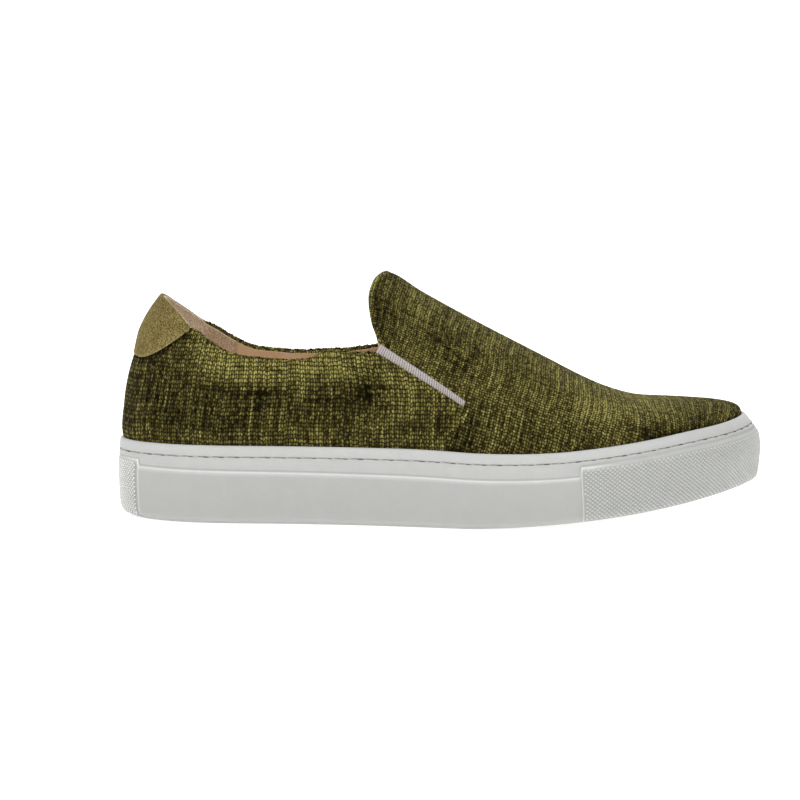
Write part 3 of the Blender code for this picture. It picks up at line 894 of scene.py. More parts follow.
def borderStart(share):  # share: how far up the panel, since the toe bumper's edge leans
    return sole["toeBumperStart"] + sole["borderLean"] * (1 - share)


def onBumper(around, share=1.0):
    start, end, width = borderStart(share), sole["heelBumperEnd"], sole["stepBlend"]
    heel = 1 - smoothStep(around, end - width, end + width)
    return heel + smoothStep(around, start - width, start + width)


def toeBorder(around, share):
    start, width = borderStart(share), sole["borderWidth"]
    past = smoothStep(around, start + width - 0.001, start + width)
    return smoothStep(around, start - 0.0006, start + 0.0004) * (1 - past)


def panelTop(around):
    along = mixed(*sole["panelTop"], np.minimum(around / sole["toeBumperStart"], 1))
    return mixed(along, sole["bumperTop"], onBumper(around))


def solePlace(side, around, level, inset):
    edgeX = outlineAt(side, around)[..., 0]
    return raised(outlineAt(side, around, inset), treadHeight(edgeX) + wallHeight(edgeX) * level)


def soleWall(side, around, row):  # a point of the panel or bumper, rows counted from the tread edge
    share, sideInset, toeInset = readTable(sole["panel"], row)
    start = sole["toeBumperStart"]
    top = smoothStep(share, 0.93, 0.95) * smoothStep(around, start, start + 0.001)
    proud = sole["bumperProud"] * onBumper(around, share) * heelOr(around, sole["heelProud"], 1.0)
    proud = proud + sole["borderProud"] * np.maximum(toeBorder(around, share), 0.3 * top)
    inset = edgeInset(around, sideInset, toeInset) * mm - proud * smoothStep(row, 0.2, 1.0)
    return solePlace(side, around, panelTop(around) * share, inset)


panelRows = np.concatenate([np.linspace(0, 2, 13), np.linspace(2, 3.8, 12)[1:], np.linspace(3.8, 4, 4)[1:]])
wallRows = np.concatenate([np.linspace(0, 1, 4)[1:], np.linspace(1, 3, 11)[1:], np.linspace(3, 5, 13)[1:]])


def solePaintedLight(side, around):  # painted light and shade, a tone for each point of soleSide
    paintedLight, around = sole["paintedLight"], around[:, None]
    share = readTable(sole["panel"], panelRows)[0][None, :]
    # painted highlights on the toe bumper's border, the heel bumper's edge and the panel's top edge; painted
    # shade between the studs
    border = toeBorder(around, share)
    heelLine = bell(around - sole["heelBumperEnd"] + 0.0006, 0.0012) * smoothStep(share, 0.05, 0.1)
    studded = onBumper(around, share) * smoothStep(share, 0.0, 0.06) * (1 - smoothStep(share, 0.93, 0.96))
    studded = studded * heelOr(around, paintedLight["heelStuds"], 1.0)
    onToe = smoothStep(around, sole["toeBumperStart"] + 0.01, sole["toeBumperStart"] + 0.06)
    topEdge = smoothStep(panelRows, 3.76, 3.84) * (1 - 0.75 * onToe)
    panel = paintedLight["studs"] * studded * (1 - border) + paintedLight["border"] * border
    panel = panel + paintedLight["heelLine"] * heelLine + paintedLight["topEdge"] * topEdge
    # painted shade on the panel, darker towards the tread
    panel = panel + paintedLight["panel"] + paintedLight["panelFoot"] * (1 - share)
    # painted shade at the step above the panel, lighter at the toe
    step = np.array(paintedLight["step"]) + np.array(paintedLight["toeStep"]) * onToe
    # painted light on the wall and rim, painted shade in the stitch groove
    wall = paintedLight["wall"] + paintedLight["groove"] * bell(wallRows - 1.9, 0.4)
    wall = wall + paintedLight["rim"] * smoothStep(wallRows, 3, 4)
    # painted shade inside the cup
    blocks = [np.zeros(len(sole["treadInsets"])), panel, step, wall, np.full(5, paintedLight["inside"])]
    return np.concatenate([block + np.zeros_like(around) for block in blocks], 1)


def soleUnder(side, around):  # 1 on the tread, 0 elsewhere
    rows = np.arange(solePaintedLight(side, around[:1]).shape[1])
    return np.tile(rows < len(sole["treadInsets"]), (len(around), 1))


def soleColumns():
    heel, toe = sole["heelBumperEnd"], sole["toeBumperStart"]
    extra = [np.linspace(heel - 0.0012, heel + 0.0012, 5), np.linspace(toe - 0.0015, toe + 0.009, 20)]
    return np.unique(np.concatenate([np.linspace(0, 1, sole["columns"]), *extra]))


def soleSide(side, around):  # all rows of one side, from under the tread, up the wall, down to the floor
    around = around[:, None]
    fill = sole["heelFill"] * heelShare(around)
    rows = []
    for inset in sole["treadInsets"]:
        flat = outlineAt(side, around, np.full(around.shape, inset))
        reach = np.abs(flat[..., 0] - sole["archMiddle"]) / sole["archHalf"]
        arch = (1 - smoothStep(reach, 0, 1)) * smoothStep(inset, sole["archFrom"], sole["treadInsets"][0])
        rows.append(raised(flat, treadHeight(flat[..., 0]) + sole["archDepth"] * arch))
    rows.append(soleWall(side, around, panelRows[None, :] + 0 * around))
    inset = edgeInset(around, *sole["stepInsets"]) - 0.9 * fill
    for above, rounding in ((0.5, sole["stepRound"]), (1.0, 0.0), (1.5, 0.0)):
        rows.append(solePlace(side, around, panelTop(around) + sole["stepLevel"] * above, inset - rounding))
    level, sideInset, toeInset = readTable(sole["wall"], wallRows[None, :] + 0 * around)
    rows.append(solePlace(side, around, level, edgeInset(around, sideInset, toeInset) * mm - fill))
    fit = upperInset(around) - sole["fitGap"]
    rows.append(solePlace(side, around, 1.0, fit - fill - sole["rimRound"]))
    rows.append(solePlace(side, around, 0.99, fit - fill))
    foot = outlineAt(side, around, fit)
    rim = rimHeight(outlineAt(side, around)[..., 0])
    for share in (0.6, 0.3, 0.0):
        rows.append(raised(foot, mixed(floorHeight(foot[..., 0]), rim, share)))
    return np.concatenate(rows, 1)


def makeCupsole(name):
    mesh = ringMesh(name, soleSide, soleColumns(), {"under": soleUnder, "shade": solePaintedLight}, 38)
    newPiece(name, mesh, rubber, "cupsole")


makeCupsole("cupsole")
print("cupsole: wall, bumpers, groove and tread")


# Upper fabric

fabric = {
    "relief": 0.12 * mm,
    "reliefFrom": 3 * mm,
    "proud": 0.7 * mm,
    "proudFrom": (-2.5 * mm, 2 * mm),
    "fillFade": (1 * mm, 16 * mm),
    "quarterBack": -0.5 * mm,
    "vampBack": -1.2 * mm,
    "collarRoll": 1.4 * mm,
    "tongueRoll": 1.35 * mm,
    "edgeRoll": 0.6 * mm,
    "turnIn": 0.8 * mm,
    "collarFade": (-0.02, 0.004),
    "lowUnderTab": 3.0 * mm,
    "rowStretch": 1.05,
    "tuck": 3.0 * mm,
    "quarterEnd": 0.5235,
    "quarterColumns": 330,
    "quarterRows": 100,
    "vampColumns": (58, 262),
    "vampRows": (32, 78),
    "vampAround": 350 * mm,  # length of all of "around" near the throat
    "vampLean": 0.65,
    "vampFiner": (0.97, 1.36),
    "hemPlace": 3.4,
    "hemDepth": 0.16 * mm,
    # painted highlight on the tongue's rolled edge and painted shade in its hem groove
    "hemTone": 0.22,
    # painted highlight along the quarter's raised front edge
    "seamHighlight": 0.28,
    "tabShadow": -0.3,
    # painted shade in the creases, for each millimetre of depth
    "creaseShade": 0.5,
    "collarLift": (  # around, rise of the folded edge on the outer and inner side in millimetres
        (0.15, 0.0, 0.0), (0.20, -0.7, 0.0), (0.226, -1.2, -0.8), (0.241, -0.9, -0.5), (0.265, -1.2, 0.0),
        (0.292, -1.4, 0.0), (0.309, -1.1, 0.0), (0.321, -0.3, 0.2), (0.331, 1.9, 0.2), (0.345, 2.8, -0.1),
        (0.362, 2.4, -1.0), (0.376, 1.4, -1.6), (0.389, 0.0, -2.1), (0.402, -0.8, -2.6),
        (0.415, -1.6, -2.4), (0.43, -1.3, -1.3), (0.525, -1.0, -1.0),
    ),
    # painted highlights where the top of the vamp and the collar catch the light, painted shade low on the
    # quarter, along the rim and in front of the quarter's seam, with the cloth's own uneven tone
    "lightAndToneBlotches": (  # x and z of the middle, half length and half height in millimetres, darker - or lighter +
        (-129, 62, 9, 14, -0.18), (-111, 67, 9, 9, -0.14), (-85, 56, 11, 6, -0.14), (-80, 50, 64, 12, -0.15),
        (-39, 60, 10, 10, -0.14), (-26, 99, 4.5, 8, -0.18), (-14, 92, 12, 10, 0.02), (12, 46, 6, 10, -0.26),
        (8, 36, 7, 6, -0.2), (112, 43, 18, 5, -0.2), (-3, 84, 6, 5, -0.14), (12, 76, 8, 4, -0.08),
        (-74, 69, 30, 6, 0.32), (-120, 44, 20, 9, -0.07), (-102, 75, 9, 8, 0.3), (-16, 62, 12, 10, 0.17),
        (45, 66, 30, 8, 0.10), (80, 54, 32, 7, 0.28), (25, 60, 20, 12, 0.05), (-8, 99, 9, 6, 0.1),
        (9, 91, 10, 6, 0.07), (-42, 74, 16, 6, 0.3), (-106, 53, 4, 7, -0.17), (-80, 57, 6, 6, -0.17),
        (-34, 60, 5, 5, -0.22), (-22, 61, 4, 3, -0.2), (-1, 47, 4, 4, -0.18), (93, 43, 7, 4, -0.26),
        (38, 43, 4, 6, -0.12), (26, 82, 10, 6, 0.12), (43, 73, 10, 6, 0.08), (-140, 50, 8, 16, -0.1),
    ),
    "creases": (  # depth and half width in millimetres, then x and z along the crease
        (0.45, 0.8, ((-92, 71), (-80, 69.6), (-66, 68.2), (-55, 67.4))),
        (0.35, 0.7, ((-70, 72.0), (-60, 71.6), (-52, 71.8))),
        (0.45, 0.6, ((-53, 75.2), (-46, 74.6), (-39, 74.8))),
        (0.30, 0.9, ((-108, 60), (-90, 58.5), (-70, 58.8))),
        (0.30, 0.8, ((-62, 56), (-45, 57), (-28, 59.5))),
        (0.40, 0.9, ((-6, 86), (2, 80), (10, 74))),
        (0.35, 0.9, ((-2, 78), (8, 71.5), (16, 66))),
    ),
}

gore = {
    "slot": (4.9 * mm, 3.3 * mm),  # its height at the throat and at its end
    "slotEnd": 0.5247,
    "lap": 3.2 * mm,
    "thickness": 0.9 * mm,
    "quarterLap": -0.62 * mm,
    "vampLap": -1.32 * mm,
    "shown": -0.3 * mm,
    "showFrom": (-1.7 * mm, -0.4 * mm),
    "showTo": (-0.6 * mm, 0.8 * mm),
    "fold": 0.3 * mm,
    "foldWide": 1.1 * mm,
    "start": 0.4136,
    "startLean": 0.0135,
    "innerLater": 0.003,
    "end": 0.531,
    "cornerCut": 0.0034,
    "cornerTall": 9 * mm,
    "cornerFade": (0.43, 0.47),
    "cornerReach": 0.0047,
}

heelTab = {
    "seat": 0.65 * mm,
    "face": 2.1 * mm,
    "end": 0.135,
    "innerReach": 0.008,
    "edgeRound": 0.5 * mm,
    "endRound": 0.0024,
    "fade": (-0.012, 0.008),
    "endDrop": 0.7 * mm,
    "bulge": 0.8 * mm,
    "lowIn": 0.75 * mm,
    "hemTone": 0.06,
    "lowerEdge": (  # around, height in millimetres
        (0.00, 74.8), (0.04, 73.6), (0.06, 73.4), (0.08, 74.8), (0.10, 78.0), (0.12, 82.6), (0.135, 86.0),
    ),
}


def slotEdges(around):  # heights of the slot's lower and upper edge
    low = np.where(around < gore["slotEnd"], goreLine(around), goreHeight(around))
    return low, low + mixed(*gore["slot"], np.clip(alongGore(around), 0, 1))


def creaseAt(points):  # how deep the listed creases are at each point
    place = points[..., ::2] / mm
    deep = np.zeros(place.shape[:-1])
    for depth, width, line in fabric["creases"]:
        nearest = np.full(place.shape[:-1], 1e9)
        for start, end in zip(line, line[1:]):
            start, way = np.array(start, float), np.subtract(end, start)
            share = np.clip(((place - start) @ way) / (way @ way), 0, 1)
            nearest = np.minimum(nearest, np.linalg.norm(place - start - share[..., None] * way, axis=-1))
        deep = np.maximum(deep, depth * bell(nearest, width))
    return deep * mm


# painted shade in the creases and the painted light and tone of the blotches, at each point
def paintedLightAndToneAt(points):
    x, z = points[..., 0] / mm, points[..., 2] / mm
    # painted shade in the creases
    tone = -fabric["creaseShade"] * creaseAt(points) / mm
    for middleX, middleZ, halfX, halfZ, strength in fabric["lightAndToneBlotches"]:
        tone += strength * bell(x - middleX, halfX) * bell(z - middleZ, halfZ)
    return tone


def wavy(u, v):  # places on the cloth, whose rows aren't quite straight
    bent = v + 0.45 * np.sin(u * 0.09 + 0.7) + 0.2 * np.sin(u * 0.27 + 2)
    return np.stack([u + 0.4 * np.sin(v * 0.17 + 0.5), bent], -1)


def wovenRelief(place):
    rows = place[..., 1] / knit["rowPitch"]
    row = np.floor(rows)
    cells = place[..., 0] / knit["wale"] * 2 + row * 0.5 + (rows - row) * knit["slant"]
    cell = np.floor(cells)
    ridge = np.sin(np.pi * (rows - row)) * (0.5 + 0.5 * noiseOf(cell, row))
    return (ridge * (0.6 + 0.4 * np.sin(np.pi * (cells - cell))) - 0.35) * fabric["relief"]


def tabEnd(side):
    return heelTab["end"] + (heelTab["innerReach"] if side == medial else 0)


def underTab(side, around):
    return 1 - smoothStep(around - tabEnd(side), *heelTab["fade"])


def collarRoll(side, around):  # radius of the fold, the level where it starts, length of a level
    under = underTab(side, around)
    alongCollar = (1 - smoothStep(around - last["throat"], *fabric["collarFade"])) * (1 - under)
    roll = mixed(fabric["edgeRoll"], fabric["collarRoll"], alongCollar)
    speed = lastFrame(side, around, 1.0)[3]
    lift = readSide(fabric["collarLift"], side, around)
    return roll, 1 - (roll + fabric["lowUnderTab"] * under - lift) / speed, speed


def makeQuarter(name, side):
    length = sideLength(side)
    turn = np.linspace(0, math.pi / 2, 7)[1:]
    edge = fabric["edgeRoll"] / length
    main = np.linspace(0, fabric["quarterEnd"] - edge, fabric["quarterColumns"])
    around = np.concatenate([main, main[-1] + edge * np.sin(turn)])[:, None]
    fold = np.concatenate([np.ones(len(main)), np.maximum(np.cos(turn), 0.12)])[:, None]
    fold = fold * (1 - 0.5 * bell(around * length, 0.9 * mm))
    roll, top, speed = collarRoll(side, around)
    rise = quarterRise(side, around)
    low = -fabric["tuck"] / rise
    middle = (fabric["proud"] + fabric["quarterBack"]) / 2

    def thick(offset):
        return middle + (offset - middle) * fold

    def weave(level, past=0.0):
        along = around - seamShift(around, np.clip(level, 0, 1))
        return wavy(along * (length / mm), level * rise / mm * fabric["rowStretch"] + past)

    def reaching(level):  # the top corner reaches over the gore's end
        near = smoothStep(level, 0.7, 1.0) * smoothStep(around, 0.495, fabric["quarterEnd"])
        return around + gore["cornerReach"] * near

    outside = rowsBetween(low, top, fabric["quarterRows"])
    point, normal, _, _ = lastFrame(side, reaching(outside), outside)
    above = outside * rise
    proud = fabric["proud"] * smoothStep(above, *fabric["proudFrom"])
    proud = proud + sole["heelFill"] * heelShare(around) * (1 - smoothStep(above, *fabric["fillFade"]))
    weaves = [weave(outside)]
    relief = wovenRelief(weaves[0]) - creaseAt(point)
    relief = relief * smoothStep(above, 0, fabric["reliefFrom"]) * fold
    blocks = [pushed(point, normal, thick(proud) + relief)]

    arc = np.linspace(0, math.pi, 15)[1:]
    weaves.append(weave(top + 0 * arc, roll * arc / mm))
    point, normal, up, _ = lastFrame(side, reaching(top), top)
    radius = roll + wovenRelief(weaves[1])
    point = pushed(point, normal, thick(fabric["proud"] - roll + radius * np.cos(arc)))
    blocks.append(pushed(point, up, radius * np.sin(arc) * np.sqrt(fold)))

    inside = top - np.linspace(0.2, 1, 4) * fabric["turnIn"] / speed
    blocks.append(shiftedPoints(side, reaching(inside), inside, thick(fabric["proud"] - 2 * roll)))
    weaves.append(weave(top + 0 * inside, (math.pi * roll + (top - inside) * speed) / mm))
    behind = rowsBetween(inside[:, -1:] - 0.4 * mm / speed, low, 12)
    blocks.append(shiftedPoints(side, reaching(behind), behind, thick(fabric["quarterBack"])))
    weaves.append(weave(behind))

    loops = np.concatenate(blocks, 1)
    # painted highlight along the quarter's raised front edge; painted shadow under the heel tab
    tone = paintedLightAndToneAt(loops) + fabric["seamHighlight"] * bell((fabric["quarterEnd"] - around) * (length / mm), 2.0)
    under = np.maximum(readTable(heelTab["lowerEdge"], around)[0] * mm - loops[..., 2], 0)
    tone += fabric["tabShadow"] * bell(under, 2.6 * mm) * (around < heelTab["end"] + 0.006)
    mesh = loftMesh(name, loops, {"tone": tone}, np.concatenate(weaves, 1), 70)
    newPiece(name, mesh, woven, "upper")


ridgeX = np.linspace(-45, 102, 300)
ridgeSteps = np.diff(np.column_stack([ridgeX, *readTable(last["ridge"], ridgeX)]), axis=0)
ridgeAlong = np.append(0, np.cumsum(np.linalg.norm(ridgeSteps, axis=1)))


def vampWeave(side, points):  # rows run along the ridge, and fan out over the toe
    x, y, z = np.moveaxis(points / mm, -1, 0)
    onRidge = np.clip(x, ridgeX[0], ridgeX[-1])
    ridgeY, ridgeZ = readTable(last["ridge"], onRidge)
    slope = (readTable(last["ridge"], onRidge + 3) - readTable(last["ridge"], onRidge - 3))[1] / 6
    lean = -fabric["vampLean"] * slope / (1 + slope**2) * np.clip(ridgeZ - z, 0, 60)
    past, across = np.maximum(x - ridgeX[-1], 0), y - ridgeY
    chord = (np.sqrt(past**2 + across**2) ** 1.25 + np.abs(z - ridgeZ) ** 1.25) ** 0.8
    angle = np.where(past > 0, np.arctan2(np.abs(across), past + 1e-9), math.pi / 2)
    u = np.interp(onRidge, ridgeX, ridgeAlong) + lean + chord * np.cos(angle)
    return wavy(u, chord * np.sin(angle) * side + 200)


def meetAtRidge(outer, inner):  # both sides share the toe's column and the ridge's row
    outer[-1] = inner[-1] = (outer[-1] + inner[-1]) / 2
    outer[:, -1] = (outer[:, -1] + inner[:, -1]) / 2


def makeVamp(name):
    roll, edge, perAround = fabric["tongueRoll"], fabric["edgeRoll"], fabric["vampAround"]
    turn = np.linspace(math.pi / 2 * 0.96, 0, 7)
    arc = np.linspace(math.pi, 0, 7)
    slotColumns, foreColumns = fabric["vampColumns"]
    lowRows, highRows = fabric["vampRows"]
    start = last["throat"] + roll / perAround
    around = np.concatenate([
        start - roll / perAround * np.sin(turn),
        np.linspace(start, gore["slotEnd"] - 0.0006, slotColumns)[1:],
        np.linspace(gore["slotEnd"], 1, foreColumns),
    ])[:, None]
    fold = np.concatenate([np.cos(turn), np.ones(len(around) - len(turn))])[:, None]
    back = np.where(around < last["throat"] + 3.6 * mm / perAround, -2 * roll, fabric["vampBack"])
    middle, half = back / 2, -back / 2 * fold
    inSlot = around < gore["slotEnd"] - 1e-6
    past = (around - last["throat"]) * perAround / mm
    hemLine = bell(past - fabric["hemPlace"], 0.9)

    def sideBlocks(side):
        rise = quarterRise(side, around)
        slot = levelAt(side, around, slotEdges(around)[1])
        speed = lastFrame(side, around, slot)[3]
        base = np.where(inSlot, slot + edge / speed, (edge - fabric["tuck"]) / rise)
        part = slot + (edge + 0.3 * mm) / speed

        def upward(lowCount, highCount):
            low, high = rowsBetween(base, part, lowCount), rowsBetween(part, 2 + 0 * part, highCount)
            return np.concatenate([low, high[:, 1:]], 1)

        def cutBack(levels):  # at the tongue's lower corners
            near = 1 - smoothStep((levels - slot) * speed, 0, gore["cornerTall"])
            return around + gore["cornerCut"] * near * (1 - smoothStep(around, *gore["cornerFade"]))

        point, normal, up, _ = lastFrame(side, cutBack(base), base)
        hem = pushed(pushed(point, normal, middle + half * np.cos(arc)), up, -edge * np.sin(arc))
        levels = upward(lowRows, highRows)[:, 1:]
        point, normal, _, _ = lastFrame(side, cutBack(levels), levels)
        relief = wovenRelief(vampWeave(side, point)) - creaseAt(point) - hemLine * fabric["hemDepth"]
        clear = np.where(inSlot, 1.0, smoothStep(levels * rise, 0, fabric["reliefFrom"]))
        face = np.concatenate([hem, pushed(point, normal, middle + half + relief * clear * fold)], 1)
        levels = upward(8, 16)
        return face, shiftedPoints(side, cutBack(levels), levels, middle - half)

    outer, outerBack = sideBlocks(lateral)
    inner, innerBack = sideBlocks(medial)
    meetAtRidge(outer, inner)
    meetAtRidge(outerBack, innerBack)
    blocks = [outer, inner[:, -2::-1], innerBack[:, 1:], outerBack[:, -2:0:-1]]
    loops = np.concatenate(blocks, 1)
    ways = [-lateral, -medial, -medial, -lateral]
    side = np.concatenate([np.full(block.shape[1], way) for block, way in zip(blocks, ways)])
    weave = vampWeave(side[None, :], loops) * fabric["vampFiner"]
    # painted highlight on the tongue's rolled edge, painted shade in the hem's groove
    tone = paintedLightAndToneAt(loops) + fabric["hemTone"] * (bell(past, 2.0) - hemLine)
    newPiece(name, loftMesh(name, loops, {"tone": tone}, weave, 70, True), woven, "upper")


makeQuarter("quarterLateral", lateral)
makeQuarter("quarterMedial", medial)
makeVamp("vamp")
print("upper: two quarters and a vamp of woven fabric")


# Linings, gores, heel tab and insole

lining = {
    "vampFace": (-1.9 * mm, -2.4 * mm),
    "quarterFace": (-2.0 * mm, -2.55 * mm),
    "gripFace": (-2.45 * mm, -3.1 * mm),
    "tabFace": (0.55 * mm, -1.1 * mm),
    "aboveFloor": 6.0 * mm,
    "underGrip": 3.0 * mm,
    "gripEnd": 0.2,
    "gripBelowCollar": 46 * mm,
    "gripRound": 0.5 * mm,
    "cornerReach": 0.006,
}

insole = {
    "inset": 2.7 * mm,
    "aboveFloor": 2.8 * mm,
    "rows": (  # further inset and height in millimetres
        (0.0, 0.0), (0.0, 3.2), (0.15, 3.7), (0.5, 3.95), (1.2, 4.0), (4.0, 3.7), (9.0, 3.2), (16.0, 2.9),
    ),
}


def liningFoot(side, around):  # level where a lining ends, just under the top of the insole
    rim = Sections(side, around).rim
    return (floorHeight(rim[..., 0]) + lining["aboveFloor"] - rim[..., 2]) / quarterRise(side, around)


def makeQuarterLining(name, side):
    around = np.linspace(0, last["throat"] + 0.006, 90)[:, None]
    _, top, speed = collarRoll(side, around)
    gripped = 1 - smoothStep(around, lining["gripEnd"] - 0.014, lining["gripEnd"] - 0.004)
    top = top + (0.35 * mm - lining["underGrip"] * gripped) / speed
    levels = rowsBetween(liningFoot(side, around), top, 26)
    front, back = (shiftedPoints(side, around, levels, face) for face in lining["quarterFace"])
    newPiece(name, loftMesh(name, np.concatenate([front, back[:, ::-1]], 1)), leather, "upper")


def makeVampLining(name):
    around = np.linspace(last["throat"] + 0.0085, 1, 90)[:, None]

    def sideFace(side, offset):
        foot = liningFoot(side, around)
        low, high = rowsBetween(foot, 1 + 0 * foot, 16), rowsBetween(1 + 0 * foot, 2 + 0 * foot, 26)
        levels = np.concatenate([low, high[:, 1:]], 1)
        reach = smoothStep(levels, 0.98, 1.04) * (1 - smoothStep(levels, 1.22, 1.45))
        reach = reach * (1 - smoothStep(around, around[0], around[0] + 0.06))
        return shiftedPoints(side, around - lining["cornerReach"] * reach, levels, offset)

    faces = []
    for offset in lining["vampFace"]:
        outer, inner = sideFace(lateral, offset), sideFace(medial, offset)
        meetAtRidge(outer, inner)
        faces.append(np.concatenate([outer, inner[:, -2::-1]], 1))
    mesh = loftMesh(name, np.concatenate([faces[0], faces[1][:, ::-1]], 1), welded=True)
    newPiece(name, mesh, leather, "upper")


def heelBand(innerEnd, outerEnd, count, ring):  # columns of ring(side, around) round the heel
    signed = np.linspace(-innerEnd, outerEnd, count)
    inner, outer = -signed[signed < 0], signed[signed >= 0]
    return np.concatenate([ring(medial, inner[:, None]), ring(lateral, outer[:, None])])


def makeHeelGrip(name):
    end = lining["gripEnd"]

    def ring(side, around):
        _, top, speed = collarRoll(side, around)
        tab = underTab(side, around)
        top = mixed(top, 1 - 0.7 * mm / speed, tab) + (1 - tab) * 0.3 * mm / speed
        levels = rowsBetween(1 - lining["gripBelowCollar"] / speed, top, 60)
        near = smoothStep(levels, top - 7 * mm / speed, top) * tab
        outer, inner = (mixed(*faces, near) for faces in zip(lining["gripFace"], lining["tabFace"]))
        inner = inner + 0.35 * mm * smoothStep(around, end - 0.004, end)
        turn = np.linspace(0, math.pi, 9)[1:-1]
        point, normal, up, _ = lastFrame(side, around, top)
        middle, half = (outer + inner)[:, -1:] / 2, (outer - inner)[:, -1:] / 2
        cap = pushed(point, normal, middle + half * np.cos(turn))
        cap = pushed(cap, up, lining["gripRound"] * np.sin(turn))
        back = shiftedPoints(side, around, levels, inner)
        return np.concatenate([shiftedPoints(side, around, levels, outer), cap, back[:, ::-1]], 1)

    newPiece(name, loftMesh(name, heelBand(end, end, 161, ring)), gripSuede, "upper")


def makeHeelTab(name):
    seat, face, rounding = heelTab["seat"], heelTab["face"], heelTab["edgeRound"]
    turn = np.linspace(math.pi, 0, 9)

    def ring(side, around):
        end = tabEnd(side)
        speed = lastFrame(side, around, 1.0)[3]
        near = np.clip((end - around) / heelTab["endRound"], 0, 1)
        fold = np.sqrt(np.maximum(1 - (1 - near) ** 2, 0.02))
        middle, half = (seat + face) / 2, (face - seat) / 2 * fold
        edge = readTable(heelTab["lowerEdge"], around * heelTab["end"] / end)[0] * mm
        low = (edge - Sections(side, around).rim[..., 2]) / quarterRise(side, around)
        high = 1 - (rounding + heelTab["endDrop"] * smoothStep(around, 0.1, end)) / speed
        share = np.linspace(0, 1, 42)[1:-1]
        bulge = heelTab["bulge"] * np.sin(share * math.pi)
        bulge = (bulge - heelTab["lowIn"] * (1 - smoothStep(share, 0, 0.4))) * fold

        def hem(level, way):
            point, normal, up, _ = lastFrame(side, around, level)
            out = middle + half * np.cos(turn)
            if way < 0:
                out = out + bulge[:, :1] * (1 + np.cos(turn)) / 2
            return pushed(pushed(point, normal, out), up, way * rounding * np.sin(turn))

        outside = shiftedPoints(side, around, rowsBetween(low, high, 42)[:, 1:-1], middle + half + bulge)
        behind = shiftedPoints(side, around, rowsBetween(high, low, 12)[:, 1:-1], middle - half)
        return np.concatenate([hem(low, -1), outside, hem(high, 1)[:, ::-1], behind], 1)

    loops = heelBand(tabEnd(medial), tabEnd(lateral), 141, ring)
    tone = np.where(np.arange(loops.shape[1]) < len(turn), heelTab["hemTone"], 0.0)
    mesh = loftMesh(name, loops, {"tone": np.tile(tone, (len(loops), 1))}, None, 60)
    newPiece(name, mesh, suede, "heel_tab")


def makeGore(name, side, node):
    share = np.linspace(0, 1, 21)[None, :]
    along = np.linspace(0, 1, 130)[:, None]
    start = gore["start"] + gore["startLean"] * (share - 0.3)
    start = start + (gore["innerLater"] if side == medial else 0)
    around = mixed(start, gore["end"], along)
    low, high = slotEdges(np.minimum(around, gore["slotEnd"] - 1e-6))
    above = gore["lap"] * (0.2 + 0.8 * smoothStep(along, 0.0, 0.2))
    height = mixed(low - gore["lap"], high + above, share)
    inside = smoothStep(height - low, *gore["showFrom"]) * (1 - smoothStep(height - high, *gore["showTo"]))
    lap = mixed(gore["quarterLap"], gore["vampLap"], smoothStep(height, low, high))
    length = sideLength(side)
    folded = gore["fold"] * bell((around - start) * length, gore["foldWide"])
    face = mixed(lap, gore["shown"], inside) + folded

    curves, step = Sections(side, around), last["step"]
    q = curves.reach(height)
    ahead = Sections(side, around + step).at(q) - Sections(side, around - step).at(q)
    normal = outwardOf(side, ahead, curves.at(q + step) - curves.at(q - step))
    front, back = (pushed(curves.at(q), normal, offset) for offset in (face, face - gore["thickness"]))
    u = along * (gore["end"] - gore["start"]) * length / mm / 0.85 + 0 * share
    v = share * 10 + 0 * along
    weave = np.stack([np.concatenate([u, u], 1), np.concatenate([v, v[:, ::-1]], 1)], -1)
    mesh = loftMesh(name, np.concatenate([front, back[:, ::-1]], 1), None, weave)
    newPiece(name, mesh, elastic, node)


def insoleSide(side, around):
    rows = []
    for extra, height in insole["rows"]:
        flat = outlineAt(side, around[:, None], upperInset(around[:, None]) + insole["inset"] + extra * mm)
        rows.append(raised(flat, floorHeight(flat[..., 0]) + insole["aboveFloor"] + height * mm))
    return np.concatenate(rows, 1)


def makeInsole(name):
    newPiece(name, ringMesh(name, insoleSide, np.linspace(0, 1, 160)), leather, "insole")


makeQuarterLining("quarterLiningLateral", lateral)
makeQuarterLining("quarterLiningMedial", medial)
makeVampLining("vampLining")
makeHeelGrip("heelGrip")
makeHeelTab("heelTab")
makeGore("goreLateral", lateral, "gore_lateral")
makeGore("goreMedial", medial, "gore_medial")
makeInsole("insole")
print("inside: linings, heel grip, gores, insole; and the heel tab")


# Stitches, bumper studs and collar loops

stitch = {
    "thread": {"Pitch": 6.9 * mm, "Length": 5.0 * mm, "Width": 0.5 * mm, "Height": 0.6 * mm},
    "threadLine": (0.862, 1.45 * mm, 3.6 * mm, 2),  # level, inset at the sides and toe, points left out
    # dark pieces between the thread's stitches: painted shadow at the holes
    "holeShadow": {"Pitch": 6.9 * mm, "Length": 2.9 * mm, "Width": 0.62 * mm, "Height": 0.6 * mm},
    "holeShadowLine": (0.8555, 1.35 * mm, 3.2 * mm, 9),
    "grip": {"Pitch": 3.2 * mm, "Length": 2.6 * mm, "Width": 0.55 * mm, "Height": 0.45 * mm},
    "gripBack": (0.0065, 0.013),
    "gripSpan": (1 * mm, 34 * mm),
    "gripProud": 0.05 * mm,
}

bumper = {
    "along": 2.15 * mm,
    "up": 1.8 * mm,
    "gap": 0.6 * mm,
    "height": 0.45 * mm,
    # stud tops lighter than the bumper: painted highlight, stronger at the heel
    "studHighlight": 0.2,
    "heelStudHighlight": 0.4,
    "fromShare": 0.07,
    "toShare": 0.95,
    "toeClear": 0.002,
    "heelClear": 0.0045,
    "mostSteps": 90,
}

edgeLoops = {"Pitch": 1.5 * mm, "Length": 1.9 * mm, "Width": 2.0 * mm, "Height": 1.5 * mm}

seed = 4
rowsAlong, studsOn = rowTree(), studTree()


